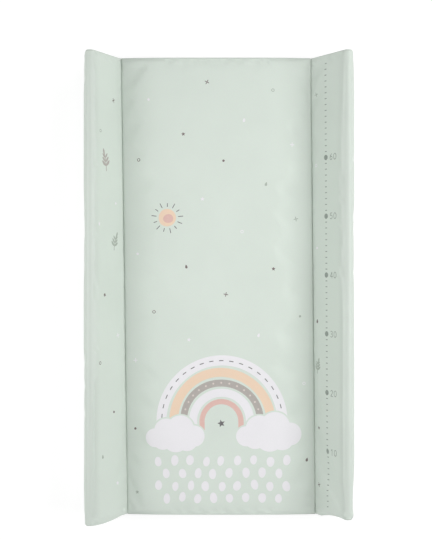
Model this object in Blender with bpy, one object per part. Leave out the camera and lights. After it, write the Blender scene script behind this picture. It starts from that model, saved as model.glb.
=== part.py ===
"""Changing mat with raised sides on a hard base.

A vinyl film is drawn over a crowned foam pad and two foam bolsters, and is held down between them
by a strip of film on each valley line. The foam stands on a fibreboard, a plain film closes the
underside, and four rubber stops keep the mat from sliding on a cot's side rails.

Metres, +Z up. The origin is on the floor under the middle of the mat, and Y runs along its length.
"""

import math

import bmesh
import bpy

# Outer face of the cover
MAT_LENGTH = 0.790
MAT_WIDTH = 0.448
RIM_HEIGHT = 0.090
BOLSTER_WIDTH = 0.0585
CREST_RADIUS = 0.0115
TOE_RADIUS = 0.008
TOE_ANGLE = math.radians(15.0)
VALLEY_HEIGHT = 0.020
WELD_LAND = 0.003
PAD_CROWN = 0.010
PAD_FULLNESS = 6.0
END_CROWN_SHARE = 0.45
END_FULLNESS = 4.0
END_RADIUS = 0.006
END_TURN = math.radians(65.0)
PANEL_RECESS = 0.0025

# Films, welds and the clearance between touching pieces
FILM = 0.0006
FLANGE = 0.0035
GAP = 0.0003

# Strip under each valley line
TIE_THICKNESS = 0.0008
TIE_FOOT = 0.012
TIE_END_MARGIN = 0.004

# Fibreboard base
BOARD_THICKNESS = 0.006

# Rubber stops, set to sit just inside the side rails of a cot
STOP_HEIGHT = 0.015
STOP_TOP_RADIUS = 0.016
STOP_FOOT_RADIUS = 0.0145
STOP_EDGE_RADIUS = 0.0015
STOP_SIDE_INSET = 0.084
COT_CLEAR_WIDTH = 0.600
STOP_PLAY = 0.0025
COUNTERBORE_RADIUS = 0.0062
COUNTERBORE_DEPTH = 0.0070
COUNTERBORE_LEAD = 0.0008

# Screw, washer and insert nut
SHANK_RADIUS = 0.0025
SHANK_TIP_CHAMFER = 0.0005
SHANK_CLEARANCE = 0.0003
HEAD_RADIUS = 0.0047
HEAD_HEIGHT = 0.0032
HEAD_EDGE_HEIGHT = 0.0014
DRIVE_SPAN = 0.0050
DRIVE_WIDTH = 0.0013
DRIVE_DEPTH = 0.0017
WASHER_RADIUS = 0.0055
WASHER_THICKNESS = 0.0010
INSERT_BARREL_RADIUS = 0.0039
INSERT_FLANGE_RADIUS = 0.0095
INSERT_FLANGE_THICKNESS = 0.0012
INSERT_SHORTFALL = 0.0006
POCKET_CLEARANCE = 0.0015

# Vent eyelets on the middle line of the underside
EYELET_SPACING = 0.360
EYELET_BORE_RADIUS = 0.0025
EYELET_BARREL_RADIUS = 0.0031
EYELET_FLANGE_RADIUS = 0.0050
EYELET_FLANGE_THICKNESS = 0.0005
VENT_HOLE_RADIUS = 0.0065

# Cutters run past the faces that they cut by this much
OVERRUN = 0.002

# Facets
PAD_STEPS = 8
TOE_STEPS = 3
CREST_STEPS = 9
TURN_STEPS = 3
CORNER_STEPS = 6
TURNED_SIDES = 24
SHARP_ANGLE = math.radians(35.0)
LENGTH_SHARES = (0.0, 0.3, 0.55, 0.75, 0.88, 0.96, 1.0)

# Levels and places that follow from the sizes above
BASE_Z = STOP_HEIGHT
VALLEY_Z = BASE_Z + VALLEY_HEIGHT
RIM_Z = BASE_Z + RIM_HEIGHT
LIP_Z = BASE_Z + FILM + GAP
BOARD_Z = BASE_Z + FILM + GAP
BOARD_TOP_Z = BOARD_Z + BOARD_THICKNESS
FOAM_Z = BOARD_TOP_Z + GAP
HALF_LENGTH = MAT_LENGTH / 2
HALF_WIDTH = MAT_WIDTH / 2
FLAT_HALF = HALF_LENGTH - END_RADIUS
VALLEY_X = HALF_WIDTH - BOLSTER_WIDTH
FOAM_DEPTH = FILM + GAP
PANEL_Y = HALF_LENGTH - PANEL_RECESS
FOAM_END_Y = PANEL_Y - FILM - GAP
STOP_X = HALF_WIDTH - STOP_SIDE_INSET
STOP_Y = COT_CLEAR_WIDTH / 2 - STOP_PLAY - STOP_TOP_RADIUS
STOP_PLACES = [(side * STOP_X, end * STOP_Y) for end in (1, -1) for side in (-1, 1)]
VENT_PLACES = [(0, end * EYELET_SPACING / 2) for end in (1, -1)]
PASSAGE_RADIUS = SHANK_RADIUS + SHANK_CLEARANCE


def clear_scene():
    """Remove every object that the scene starts with."""
    for item in list(bpy.data.objects):
        bpy.data.objects.remove(item, do_unlink=True)


def make_material(name, colour, roughness, metallic=0.0):
    """A plain finish for one kind of piece."""
    material = bpy.data.materials.new(name)
    material.use_nodes = True
    shader = material.node_tree.nodes["Principled BSDF"]
    shader.inputs["Base Color"].default_value = (*colour, 1.0)
    shader.inputs["Roughness"].default_value = roughness
    shader.inputs["Metallic"].default_value = metallic
    material.diffuse_color = (*colour, 1.0)
    return material


def vinyl_top_material():
    """Sage green printed vinyl with a soft satin face."""
    return make_material("sage_vinyl", (0.69, 0.75, 0.69), 0.45)


def vinyl_under_material():
    """Plain off-white vinyl of the underside."""
    return make_material("plain_vinyl", (0.78, 0.80, 0.77), 0.55)


def foam_material():
    """Cream open-cell foam."""
    return make_material("foam", (0.86, 0.80, 0.62), 0.95)


def board_material():
    """Brown fibreboard."""
    return make_material("fibreboard", (0.36, 0.24, 0.14), 0.80)


def rubber_material():
    """Pale grey rubber of the stops."""
    return make_material("grey_rubber", (0.42, 0.43, 0.42), 0.80)


def zinc_material():
    """Zinc-plated steel of the fasteners."""
    return make_material("zinc_steel", (0.62, 0.63, 0.65), 0.35, 1.0)


def nickel_material():
    """Nickel-plated brass of the eyelets."""
    return make_material("nickel", (0.70, 0.67, 0.60), 0.30, 1.0)


def add_object(name, vertices, faces, material):
    """Make a mesh object from closed faces, turn the faces outwards and shade its round parts smooth."""
    mesh = bpy.data.meshes.new(name)
    mesh.from_pydata(vertices, [], faces)
    work = bmesh.new()
    work.from_mesh(mesh)
    bmesh.ops.recalc_face_normals(work, faces=work.faces)
    work.to_mesh(mesh)
    work.free()
    mesh.shade_smooth()
    mesh.set_sharp_from_angle(angle=SHARP_ANGLE)
    if material:
        mesh.materials.append(material)
    item = bpy.data.objects.new(name, mesh)
    bpy.context.collection.objects.link(item)
    return item


def cut_with(item, cutter):
    """Subtract a cutter from an object and hide the cutter."""
    cutter.hide_render = True
    cutter.display_type = "WIRE"
    modifier = item.modifiers.new("cut", "BOOLEAN")
    modifier.operation = "DIFFERENCE"
    modifier.solver = "EXACT"
    modifier.object = cutter


def turned_part(profile, centre, sides, vertices, faces):
    """Add a closed ring turned about a vertical axis, from a closed profile of (radius, height).

    A profile point on the axis becomes one pole.
    """
    rings = []
    for radius, height in profile:
        start = len(vertices)
        if radius == 0:
            vertices.append((centre[0], centre[1], height))
            rings.append([start] * sides)
            continue
        for side in range(sides):
            angle = 2 * math.pi * side / sides
            x = centre[0] + radius * math.cos(angle)
            y = centre[1] + radius * math.sin(angle)
            vertices.append((x, y, height))
        rings.append(list(range(start, start + sides)))
    pairs = list(zip(rings, rings[1:]))
    if profile[0][0] > 0:
        pairs.append((rings[-1], rings[0]))
    for lower, upper in pairs:
        for side in range(sides):
            after = (side + 1) % sides
            corners = [lower[side], lower[after], upper[after], upper[side]]
            corners = list(dict.fromkeys(corners))
            if len(corners) > 2:
                faces.append(corners)


def turned_object(name, profile, centre, material):
    """One turned piece as its own object."""
    vertices, faces = [], []
    turned_part(profile, centre, TURNED_SIDES, vertices, faces)
    return add_object(name, vertices, faces, material)


def drill_cutter(name, places, radius, low, high):
    """Cylinders at several places, joined in one hidden cutter."""
    vertices, faces = [], []
    profile = [(0, low), (radius, low), (radius, high), (0, high)]
    for place in places:
        turned_part(profile, place, TURNED_SIDES, vertices, faces)
    return add_object(name, vertices, faces, None)


def plate(name, outline, low, high, material):
    """A flat plate with an outline of (x, y) points."""
    count = len(outline)
    vertices = [(x, y, low) for x, y in outline] + [(x, y, high) for x, y in outline]
    faces = [list(range(count)), list(range(2 * count - 1, count - 1, -1))]
    for here in range(count):
        after = (here + 1) % count
        faces.append([here, after, count + after, count + here])
    return add_object(name, vertices, faces, material)


def loft(name, rings, material, strips=None):
    """Join closed rings of points into one body.

    With strips, the end faces are quads between the ring's outer and inner halves, as on a shell.
    """
    count = len(rings[0])
    vertices = [point for ring in rings for point in ring]
    faces = []
    for row in range(len(rings) - 1):
        for here in range(count):
            after = (here + 1) % count
            base, above = row * count, (row + 1) * count
            faces.append([base + here, base + after, above + after, above + here])
    for base in (0, (len(rings) - 1) * count):
        if strips:
            for here in range(count // 2 - 1):
                mate = count - 1 - here
                faces.append([base + here, base + here + 1, base + mate - 1, base + mate])
        else:
            faces.append([base + here for here in range(count)])
    return add_object(name, vertices, faces, material)


def crown_at(y):
    """Height of the pad's crown over the valley, which falls off towards both ends."""
    along = min(abs(y) / FLAT_HALF, 1)
    return PAD_CROWN * (1 - (1 - END_CROWN_SHARE) * along**END_FULLNESS)


def pad_half(crown):
    """Outer face of the pad from its middle to the weld land, as (x, z)."""
    edge = VALLEY_X - WELD_LAND / 2
    points = []
    for step in range(PAD_STEPS + 1):
        share = math.sin(math.pi / 2 * step / PAD_STEPS)
        points.append((edge * share, VALLEY_Z + crown * (1 - share**PAD_FULLNESS)))
    return points


def flank_half():
    """Outer face of a bolster from the weld land over the crest to the foot of the side.

    A hollow toe and a round crest are joined by the straight line that touches both.
    """
    start_x = VALLEY_X + WELD_LAND / 2
    toe_x = start_x - TOE_RADIUS * math.sin(TOE_ANGLE)
    toe_z = VALLEY_Z + TOE_RADIUS * math.cos(TOE_ANGLE)
    crest_x = HALF_WIDTH - CREST_RADIUS
    crest_z = RIM_Z - CREST_RADIUS
    reach = math.hypot(crest_x - toe_x, crest_z - toe_z)
    bearing = math.atan2(crest_z - toe_z, crest_x - toe_x)
    lean = bearing + math.asin((TOE_RADIUS + CREST_RADIUS) / reach)
    points = []
    for step in range(TOE_STEPS + 1):
        angle = TOE_ANGLE + (lean - TOE_ANGLE) * step / TOE_STEPS
        points.append((toe_x + TOE_RADIUS * math.sin(angle), toe_z - TOE_RADIUS * math.cos(angle)))
    for step in range(CREST_STEPS + 1):
        angle = lean - (lean + math.pi / 2) * step / CREST_STEPS
        points.append((crest_x - CREST_RADIUS * math.sin(angle), crest_z + CREST_RADIUS * math.cos(angle)))
    points.append((HALF_WIDTH, LIP_Z))
    return points


def full_section(crown):
    """Outer face of the cover from the left foot to the right foot, as (x, z)."""
    half = pad_half(crown) + flank_half()
    mirrored = [(-x, z) for x, z in reversed(half[1:])]
    return mirrored + half


def inset_path(points, depth):
    """Move an open path to its right by a depth, with its corners mitred."""
    normals = []
    for (x0, z0), (x1, z1) in zip(points, points[1:]):
        length = math.hypot(x1 - x0, z1 - z0)
        normals.append(((z1 - z0) / length, (x0 - x1) / length))
    before = [normals[0]] + normals
    after = normals + [normals[-1]]
    moved = []
    for (x, z), (ax, az), (bx, bz) in zip(points, before, after):
        share = depth / (1 + ax * bx + az * bz)
        moved.append((x + (ax + bx) * share, z + (az + bz) * share))
    return moved


def section_at(y, inset):
    """The cover's section at a place along the length, inset from the outer face."""
    return inset_path(full_section(crown_at(y)), inset)


def turn_at_foam_end():
    """How far the foam's rounded end has turned where the foam is cut off."""
    return math.asin((FOAM_END_Y - FLAT_HALF) / (END_RADIUS - FOAM_DEPTH))


def stations(depth, turn_end):
    """Places along the length of a layer at a depth, as (y, inset), with rounded ends."""
    half = [(FLAT_HALF * share, depth) for share in LENGTH_SHARES]
    for step in range(1, TURN_STEPS + 1):
        turn = turn_end * step / TURN_STEPS
        y = FLAT_HALF + (END_RADIUS - depth) * math.sin(turn)
        half.append((y, END_RADIUS - (END_RADIUS - depth) * math.cos(turn)))
    mirrored = [(-y, inset) for y, inset in reversed(half[1:])]
    return mirrored + half


def cover_face(y, inset, lip_z, lip_x):
    """One face of the top film across the mat, with its lip at each foot."""
    path = section_at(y, inset)
    path[0] = (path[0][0], lip_z)
    path[-1] = (path[-1][0], lip_z)
    path = [(-lip_x, lip_z)] + path + [(lip_x, lip_z)]
    return [(x, y, z) for x, z in path]


def build_top_cover(material):
    """The top film: a thin shell from lip to lip, open below and at both ends."""
    rings = []
    for (outer_y, outer_inset), (inner_y, inner_inset) in zip(stations(0, END_TURN), stations(FILM, END_TURN)):
        lip_x = HALF_WIDTH - outer_inset + FLANGE
        outer = cover_face(outer_y, outer_inset, LIP_Z + FILM, lip_x)
        inner = cover_face(inner_y, inner_inset, LIP_Z, lip_x)
        rings.append(outer + inner[::-1])
    return loft("top_cover", rings, material, strips=True)


def build_end_panel(name, end, material):
    """An end film set inside the mouth of the top film, with its lip on the bottom film."""
    inner_radius = END_RADIUS - FILM
    panel_inset = END_RADIUS - math.sqrt(inner_radius**2 - (PANEL_Y - FLAT_HALF) ** 2) + GAP
    mouth_inset = END_RADIUS - inner_radius * math.cos(END_TURN)
    lip_x = HALF_WIDTH - mouth_inset - GAP
    lip_top = LIP_Z + FILM
    path = section_at(FLAT_HALF, panel_inset)
    path[0] = (path[0][0], lip_top)
    path[-1] = (path[-1][0], lip_top)
    outline = [(-lip_x, LIP_Z), (-lip_x, lip_top)] + path + [(lip_x, lip_top), (lip_x, LIP_Z)]
    count = len(outline)
    front = [(x, end * PANEL_Y, z) for x, z in outline]
    back = [(x, end * (PANEL_Y - FILM), z) for x, z in outline]
    tip_y = end * (HALF_LENGTH + FLANGE)
    tips = [(-lip_x, tip_y, LIP_Z), (-lip_x, tip_y, lip_top), (lip_x, tip_y, lip_top), (lip_x, tip_y, LIP_Z)]
    faces = [list(range(1, count - 1)), list(range(count, 2 * count))]
    for here in range(count):
        after = (here + 1) % count
        faces.append([here, after, count + after, count + here])
    low_left, top_left, top_right, low_right = (2 * count + corner for corner in range(4))
    faces.append([low_left, top_left, top_right, low_right])
    faces.append([0, 1, top_left, low_left])
    faces.append([1, count - 2, top_right, top_left])
    faces.append([count - 2, count - 1, low_right, top_right])
    faces.append([count - 1, 0, low_left, low_right])
    return add_object(name, front + back + tips, faces, material)


def build_bottom_cover(material):
    """The underside film, which reaches to the edge of the weld flange all round."""
    radius = END_RADIUS + FLANGE
    outline = []
    for quarter, (side, end) in enumerate(((1, 1), (-1, 1), (-1, -1), (1, -1))):
        centre_x = side * (HALF_WIDTH - END_RADIUS)
        centre_y = end * (HALF_LENGTH - END_RADIUS)
        for step in range(CORNER_STEPS + 1):
            angle = math.pi / 2 * (quarter + step / CORNER_STEPS)
            outline.append((centre_x + radius * math.cos(angle), centre_y + radius * math.sin(angle)))
    item = plate("bottom_cover", outline, BASE_Z, BASE_Z + FILM, material)
    low, high = BASE_Z - OVERRUN, BASE_Z + FILM + OVERRUN
    cut_with(item, drill_cutter("bottom_screw_cutter", STOP_PLACES, PASSAGE_RADIUS, low, high))
    eyelet_hole = EYELET_BARREL_RADIUS + GAP
    cut_with(item, drill_cutter("bottom_vent_cutter", VENT_PLACES, eyelet_hole, low, high))
    return item


def build_base_board(material):
    """The fibreboard, drilled for the inserts and the vents."""
    half = [(HALF_WIDTH - inset, y) for y, inset in stations(FOAM_DEPTH, turn_at_foam_end())]
    outline = half + [(-x, y) for x, y in reversed(half)]
    item = plate("base_board", outline, BOARD_Z, BOARD_TOP_Z, material)
    low, high = BOARD_Z - OVERRUN, BOARD_TOP_Z + OVERRUN
    barrel_hole = INSERT_BARREL_RADIUS + GAP
    cut_with(item, drill_cutter("board_insert_cutter", STOP_PLACES, barrel_hole, low, high))
    cut_with(item, drill_cutter("board_vent_cutter", VENT_PLACES, VENT_HOLE_RADIUS, low, high))
    return item


def build_foam_pad(material):
    """The crowned foam of the lying area, with a pocket over each insert nut."""
    first = len(flank_half())
    last = first + 2 * PAD_STEPS + 1
    rings = []
    for y, inset in stations(FOAM_DEPTH, turn_at_foam_end()):
        top = section_at(y, inset)[first:last]
        ring = top + [(top[-1][0], FOAM_Z), (top[0][0], FOAM_Z)]
        rings.append([(x, y, z) for x, z in ring])
    item = loft("foam_pad", rings, material)
    pocket_radius = INSERT_FLANGE_RADIUS + POCKET_CLEARANCE
    pocket_top = BOARD_TOP_Z + GAP + INSERT_FLANGE_THICKNESS + POCKET_CLEARANCE
    pockets = drill_cutter("pocket_cutter", STOP_PLACES, pocket_radius, FOAM_Z - OVERRUN, pocket_top)
    cut_with(item, pockets)
    return item


def build_bolster_core(name, side, material):
    """A bolster's foam, rebated underneath for the foot of the valley strip."""
    rebate_z = FOAM_Z + TIE_THICKNESS + GAP
    first = len(flank_half()) + 2 * PAD_STEPS + 1
    rings = []
    for y, inset in stations(FOAM_DEPTH, turn_at_foam_end()):
        face = section_at(y, inset)[first:]
        foot_x = VALLEY_X - TIE_THICKNESS / 2 + TIE_FOOT + GAP
        face[-1] = (face[-1][0], FOAM_Z)
        ring = face + [(foot_x, FOAM_Z), (foot_x, rebate_z), (face[0][0], rebate_z)]
        rings.append([(side * x, y, z) for x, z in ring])
    return loft(name, rings, material)


def build_valley_tie(name, side, material):
    """An L-shaped strip: its web hangs under the valley weld and its foot lies on the board."""
    inner_x = VALLEY_X - TIE_THICKNESS / 2
    outer_x = VALLEY_X + TIE_THICKNESS / 2
    foot_x = inner_x + TIE_FOOT
    foot_top = FOAM_Z + TIE_THICKNESS
    web_top = VALLEY_Z - FILM - GAP
    profile = [(inner_x, FOAM_Z), (foot_x, FOAM_Z), (foot_x, foot_top)]
    profile += [(outer_x, foot_top), (outer_x, web_top), (inner_x, web_top)]
    reach = FOAM_END_Y - TIE_END_MARGIN
    rings = [[(side * x, y, z) for x, z in profile] for y in (-reach, reach)]
    return loft(name, rings, material)


def stop_profile():
    """A tapered rubber stop with a bore and a counterbore, as a closed profile."""
    top = STOP_HEIGHT - GAP
    seat = COUNTERBORE_DEPTH
    lead = COUNTERBORE_RADIUS + COUNTERBORE_LEAD
    shoulder = STOP_FOOT_RADIUS + (STOP_TOP_RADIUS - STOP_FOOT_RADIUS) * STOP_EDGE_RADIUS / top
    profile = [(PASSAGE_RADIUS, top), (PASSAGE_RADIUS, seat), (COUNTERBORE_RADIUS, seat)]
    profile += [(COUNTERBORE_RADIUS, COUNTERBORE_LEAD), (lead, 0)]
    profile += [(STOP_FOOT_RADIUS - STOP_EDGE_RADIUS, 0)]
    middle = STOP_EDGE_RADIUS * (1 - math.sqrt(0.5))
    profile += [(shoulder - middle, middle), (shoulder, STOP_EDGE_RADIUS)]
    profile += [(STOP_TOP_RADIUS, top - STOP_EDGE_RADIUS), (STOP_TOP_RADIUS - middle, top - middle)]
    profile += [(STOP_TOP_RADIUS - STOP_EDGE_RADIUS, top)]
    return profile


def washer_profile():
    """A flat washer against the seat of the counterbore."""
    top = COUNTERBORE_DEPTH - GAP
    low = top - WASHER_THICKNESS
    return [(PASSAGE_RADIUS, top), (PASSAGE_RADIUS, low), (WASHER_RADIUS, low), (WASHER_RADIUS, top)]


def screw_profile():
    """A pan-head screw from the pole of its head to the end of its shank."""
    seat = COUNTERBORE_DEPTH - GAP - WASHER_THICKNESS - GAP
    crown = seat - HEAD_HEIGHT
    edge = seat - HEAD_EDGE_HEIGHT
    tip = BOARD_TOP_Z + GAP + INSERT_FLANGE_THICKNESS
    profile = [(0, crown)]
    for step in range(1, TOE_STEPS + 1):
        angle = math.pi / 2 * step / TOE_STEPS
        drop = (edge - crown) * (1 - math.cos(angle))
        profile.append((HEAD_RADIUS * math.sin(angle), crown + drop))
    profile += [(HEAD_RADIUS, seat), (SHANK_RADIUS, seat), (SHANK_RADIUS, tip - SHANK_TIP_CHAMFER)]
    profile += [(SHANK_RADIUS - SHANK_TIP_CHAMFER, tip), (0, tip)]
    return profile


def insert_profile():
    """A flanged insert nut: its flange lies on the board and its barrel stands in the hole."""
    flange_low = BOARD_TOP_Z + GAP
    flange_top = flange_low + INSERT_FLANGE_THICKNESS
    low = BOARD_Z + INSERT_SHORTFALL
    return [
        (PASSAGE_RADIUS, flange_top),
        (PASSAGE_RADIUS, low),
        (INSERT_BARREL_RADIUS, low),
        (INSERT_BARREL_RADIUS, flange_low),
        (INSERT_FLANGE_RADIUS, flange_low),
        (INSERT_FLANGE_RADIUS, flange_top),
    ]


def eyelet_profile():
    """A spool-shaped eyelet with a flange on each side of the bottom film."""
    low = BASE_Z - GAP - EYELET_FLANGE_THICKNESS
    high = BASE_Z + FILM + GAP + EYELET_FLANGE_THICKNESS
    return [
        (EYELET_BORE_RADIUS, high),
        (EYELET_BORE_RADIUS, low),
        (EYELET_FLANGE_RADIUS, low),
        (EYELET_FLANGE_RADIUS, BASE_Z - GAP),
        (EYELET_BARREL_RADIUS, BASE_Z - GAP),
        (EYELET_BARREL_RADIUS, BASE_Z + FILM + GAP),
        (EYELET_FLANGE_RADIUS, BASE_Z + FILM + GAP),
        (EYELET_FLANGE_RADIUS, high),
    ]


def drive_cutter(name, centre):
    """Two crossed bars that cut the cross recess of a screw head."""
    crown = COUNTERBORE_DEPTH - GAP - WASHER_THICKNESS - GAP - HEAD_HEIGHT
    low, high = crown - OVERRUN, crown + DRIVE_DEPTH
    long, wide = DRIVE_SPAN / 2, DRIVE_WIDTH / 2
    outline = [(long, wide), (wide, wide), (wide, long), (-wide, long), (-wide, wide), (-long, wide)]
    outline += [(-x, -y) for x, y in outline]
    return plate(name, [(centre[0] + x, centre[1] + y) for x, y in outline], low, high, None)


def build_fixings(rubber, zinc, nickel):
    """The stops with their screws, washers and insert nuts, and the vent eyelets."""
    for number, place in enumerate(STOP_PLACES, 1):
        turned_object(f"cot_stop_{number}", stop_profile(), place, rubber)
        turned_object(f"stop_washer_{number}", washer_profile(), place, zinc)
        screw = turned_object(f"stop_screw_{number}", screw_profile(), place, zinc)
        cut_with(screw, drive_cutter(f"drive_cutter_{number}", place))
        turned_object(f"insert_nut_{number}", insert_profile(), place, zinc)
    for number, place in enumerate(VENT_PLACES, 1):
        turned_object(f"vent_eyelet_{number}", eyelet_profile(), place, nickel)


def main():
    """Build every piece of the mat."""
    clear_scene()
    vinyl = vinyl_top_material()
    plain = vinyl_under_material()
    foam = foam_material()
    build_top_cover(vinyl)
    build_end_panel("end_panel_head", 1, vinyl)
    build_end_panel("end_panel_foot", -1, vinyl)
    build_bottom_cover(plain)
    build_base_board(board_material())
    build_foam_pad(foam)
    build_bolster_core("bolster_core_left", -1, foam)
    build_bolster_core("bolster_core_right", 1, foam)
    build_valley_tie("valley_tie_left", -1, plain)
    build_valley_tie("valley_tie_right", 1, plain)
    build_fixings(rubber_material(), zinc_material(), nickel_material())


main()
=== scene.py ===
"""Changing mat with raised foam sides on a hard base, dressed for close views.

A printed vinyl film is stretched over a crowned foam pad and two foam bolsters. It is welded down
along two valley lines and closed by an end film at each mouth and a plain film underneath. Four
rubber stops stand under the fibreboard base.

Metres. X runs across the mat, Y along it towards the head end, and Z up from the floor.
"""

import logging
import math
from dataclasses import dataclass, field, fields
from enum import Enum
from typing import Callable, ClassVar, Iterable, Sequence

import bmesh
import bpy
import numpy as np
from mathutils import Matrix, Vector
from mathutils.geometry import delaunay_2d_cdt
from mathutils.kdtree import KDTree


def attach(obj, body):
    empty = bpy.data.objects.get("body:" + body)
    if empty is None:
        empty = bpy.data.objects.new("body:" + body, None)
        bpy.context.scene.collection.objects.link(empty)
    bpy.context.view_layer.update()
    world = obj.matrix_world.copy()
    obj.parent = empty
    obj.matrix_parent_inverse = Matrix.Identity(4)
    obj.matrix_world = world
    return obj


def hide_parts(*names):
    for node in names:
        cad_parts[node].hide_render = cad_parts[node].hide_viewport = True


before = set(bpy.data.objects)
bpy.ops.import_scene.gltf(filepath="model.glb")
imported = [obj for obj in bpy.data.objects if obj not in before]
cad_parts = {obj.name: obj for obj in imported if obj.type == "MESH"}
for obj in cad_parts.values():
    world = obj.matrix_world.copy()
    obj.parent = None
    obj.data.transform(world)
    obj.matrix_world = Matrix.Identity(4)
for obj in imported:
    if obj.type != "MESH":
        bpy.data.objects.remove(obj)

LOG = logging.getLogger("changing_mat")
MM = 0.001
ROOT = "root"
SHEET_UV, BAKE_UV = "sheet", "OFBake"
# Where the film is pressed by a weld and rubbed by hands, and where painted shade darkens it on the crests and towards
# the valley welds
WEAR_AND_PAINTED_SHADE = ("pressed", "rubbed", "drawn")

Array = np.ndarray
Point = tuple[float, float]
Points = list[Point]
Item = bpy.types.Object
Mesh = bpy.types.Mesh
Tree = bpy.types.NodeTree
Node = bpy.types.Node
Socket = bpy.types.NodeSocket
Inputs = dict[int | str, object]


# Small tools


def srgb(code: str) -> tuple[float, ...]:
    """Turn an sRGB hex colour into a linear one.

    Args:
        code: The colour as "#RRGGBB".

    Returns:
        Red, green, blue and alpha, linear.
    """
    parts = (int(code[start : start + 2], 16) / 255 for start in (1, 3, 5))
    return (*(c / 12.92 if c <= 0.04045 else ((c + 0.055) / 1.055) ** 2.4 for c in parts), 1.0)


def plug(tree: Tree, node: Node, inputs: Inputs) -> None:
    """Set and link a node's inputs.

    Args:
        tree: The node's tree.
        node: The node.
        inputs: Values by socket name or index. A socket is linked, and a node by its first live output.
    """
    for key, value in inputs.items():
        if isinstance(value, bpy.types.Node):
            value = next(socket for socket in value.outputs if socket.enabled)
        if isinstance(value, bpy.types.NodeSocket):
            tree.links.new(value, node.inputs[key])
        else:
            node.inputs[key].default_value = value


def add_node(tree: Tree, kind: str, inputs: Inputs | None = None, **settings: object) -> Node:
    """Add a node to a tree with its settings, values and links.

    Args:
        tree: The tree that gets the node.
        kind: Blender's name of the node type, where it has one without the tree's own prefix.
        inputs: Its values and links, as plug takes them.
        settings: Its properties, set before its inputs.

    Returns:
        The new node.
    """
    prefix = "" if "Node" in kind else tree.bl_idname.removesuffix("Tree")
    node = tree.nodes.new(prefix + kind)
    for name, value in settings.items():
        setattr(node, name, value)
    plug(tree, node, inputs or {})
    return node


def link_object(name: str, mesh: Mesh) -> Item:
    """Put a mesh in the scene as an object at the origin.

    Args:
        name: The object's name.
        mesh: Its mesh.

    Returns:
        The new object.
    """
    item = bpy.data.objects.new(name, mesh)
    bpy.context.scene.collection.objects.link(item)
    return item


def mesh_object(name: str, points: Sequence, faces: Sequence = (), edges: Sequence = ()) -> Item:
    """Make a mesh and put it in the scene.

    Args:
        name: The object's and the mesh's name.
        points: The mesh's points.
        faces: Its faces.
        edges: Its loose edges.

    Returns:
        The new object.
    """
    mesh = bpy.data.meshes.new(name)
    mesh.from_pydata(*(part.tolist() if isinstance(part, Array) else part for part in (points, edges, faces)))
    return link_object(name, mesh)


def drop(*items: Item) -> None:
    """Remove helper objects and their meshes.

    Args:
        items: The objects that aren't needed any more.
    """
    for item in items:
        mesh = item.data
        bpy.data.objects.remove(item, do_unlink=True)
        if mesh.users == 0:
            bpy.data.meshes.remove(mesh)


def store(mesh: Mesh, name: str, values: Array, kind: str = "FLOAT", domain: str = "POINT") -> None:
    """Store values on a mesh as a named attribute.

    Args:
        mesh: The mesh.
        name: The attribute's name.
        values: Its values.
        kind: Its data type.
        domain: What the values belong to.
    """
    key = "vector" if kind == "FLOAT_VECTOR" else "value"
    values = values.astype(np.int32 if kind == "INT" else np.float32)
    mesh.attributes.new(name, kind, domain).data.foreach_set(key, values.ravel())


def read(elements: Sequence, key: str, width: int = 1, kind: type = np.float32) -> Array:
    """Read one property of a mesh's elements.

    Args:
        elements: The points, corners, faces or attribute values.
        key: The property's name.
        width: How many numbers it has.
        kind: Their type.

    Returns:
        The values, in rows where the width is over 1.
    """
    values = np.empty(len(elements) * width, kind)
    elements.foreach_get(key, values)
    return values if width == 1 else values.reshape(-1, width)


def store_uv(mesh: Mesh, name: str, corners: Array) -> None:
    """Add a UV map with a place for each face corner."""
    mesh.uv_layers.new(name=name)
    mesh.uv_layers[name].data.foreach_set("uv", corners.astype(np.float32).ravel())


def run_tree(item: Item, tree: Tree, values: Inputs, name: str) -> Item:
    """Run a Geometry Nodes tree on an object and keep the result as a plain mesh.

    Args:
        item: The object that the tree starts from. It is removed.
        tree: The node tree.
        values: The tree's named inputs.
        name: The name of the finished piece.

    Returns:
        The finished piece, with no modifier.
    """
    modifier = item.modifiers.new("nodes", "NODES")
    modifier.node_group = tree
    for socket in tree.interface.items_tree:
        if socket.item_type == "SOCKET" and socket.in_out == "INPUT" and socket.name in values:
            modifier[socket.identifier] = values[socket.name]
    graph = bpy.context.evaluated_depsgraph_get()
    mesh = bpy.data.meshes.new_from_object(item.evaluated_get(graph), preserve_all_data_layers=True, depsgraph=graph)
    item.modifiers.remove(modifier)
    drop(item)
    mesh.name = name
    return link_object(name, mesh)


def new_tree(name: str, sockets: Iterable[tuple[str, str, object]]) -> tuple[Tree, dict[str, Socket]]:
    """Start a Geometry Nodes tree with named inputs.

    Args:
        name: The tree's name.
        sockets: Name, socket type and default of each input after the geometry.

    Returns:
        The tree and its inputs by name.
    """
    tree = bpy.data.node_groups.new(name, "GeometryNodeTree")
    for way in ("INPUT", "OUTPUT"):
        tree.interface.new_socket("Geometry", in_out=way, socket_type="NodeSocketGeometry")
    for label, kind, default in sockets:
        socket = tree.interface.new_socket(label, in_out="INPUT", socket_type=f"NodeSocket{kind}")
        if default is not None:
            socket.default_value = default
    group = tree.nodes.new("NodeGroupInput")
    return tree, {socket.name: socket for socket in group.outputs if socket.name}


def end_tree(tree: Tree, geometry: Node, material: Socket) -> None:
    """Close a tree with Realize Instances and Set Material.

    Args:
        tree: The node tree.
        geometry: The node with the finished geometry.
        material: The material socket.
    """
    real = add_node(tree, "RealizeInstances", {"Geometry": geometry})
    dressed = add_node(tree, "SetMaterial", {"Geometry": real, "Material": material})
    add_node(tree, "NodeGroupOutput", {0: dressed})


def declare(item: Item, slot: str, *nodes: str) -> Item:
    """Let a piece ride on the mat's one body and hide the CAD nodes that it stands for.

    Args:
        item: The piece.
        slot: The record's material slot. Not used.
        nodes: The CAD nodes that it stands for, or none.

    Returns:
        The piece.
    """
    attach(item, ROOT)
    if nodes:
        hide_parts(*nodes)
    return item


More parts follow.
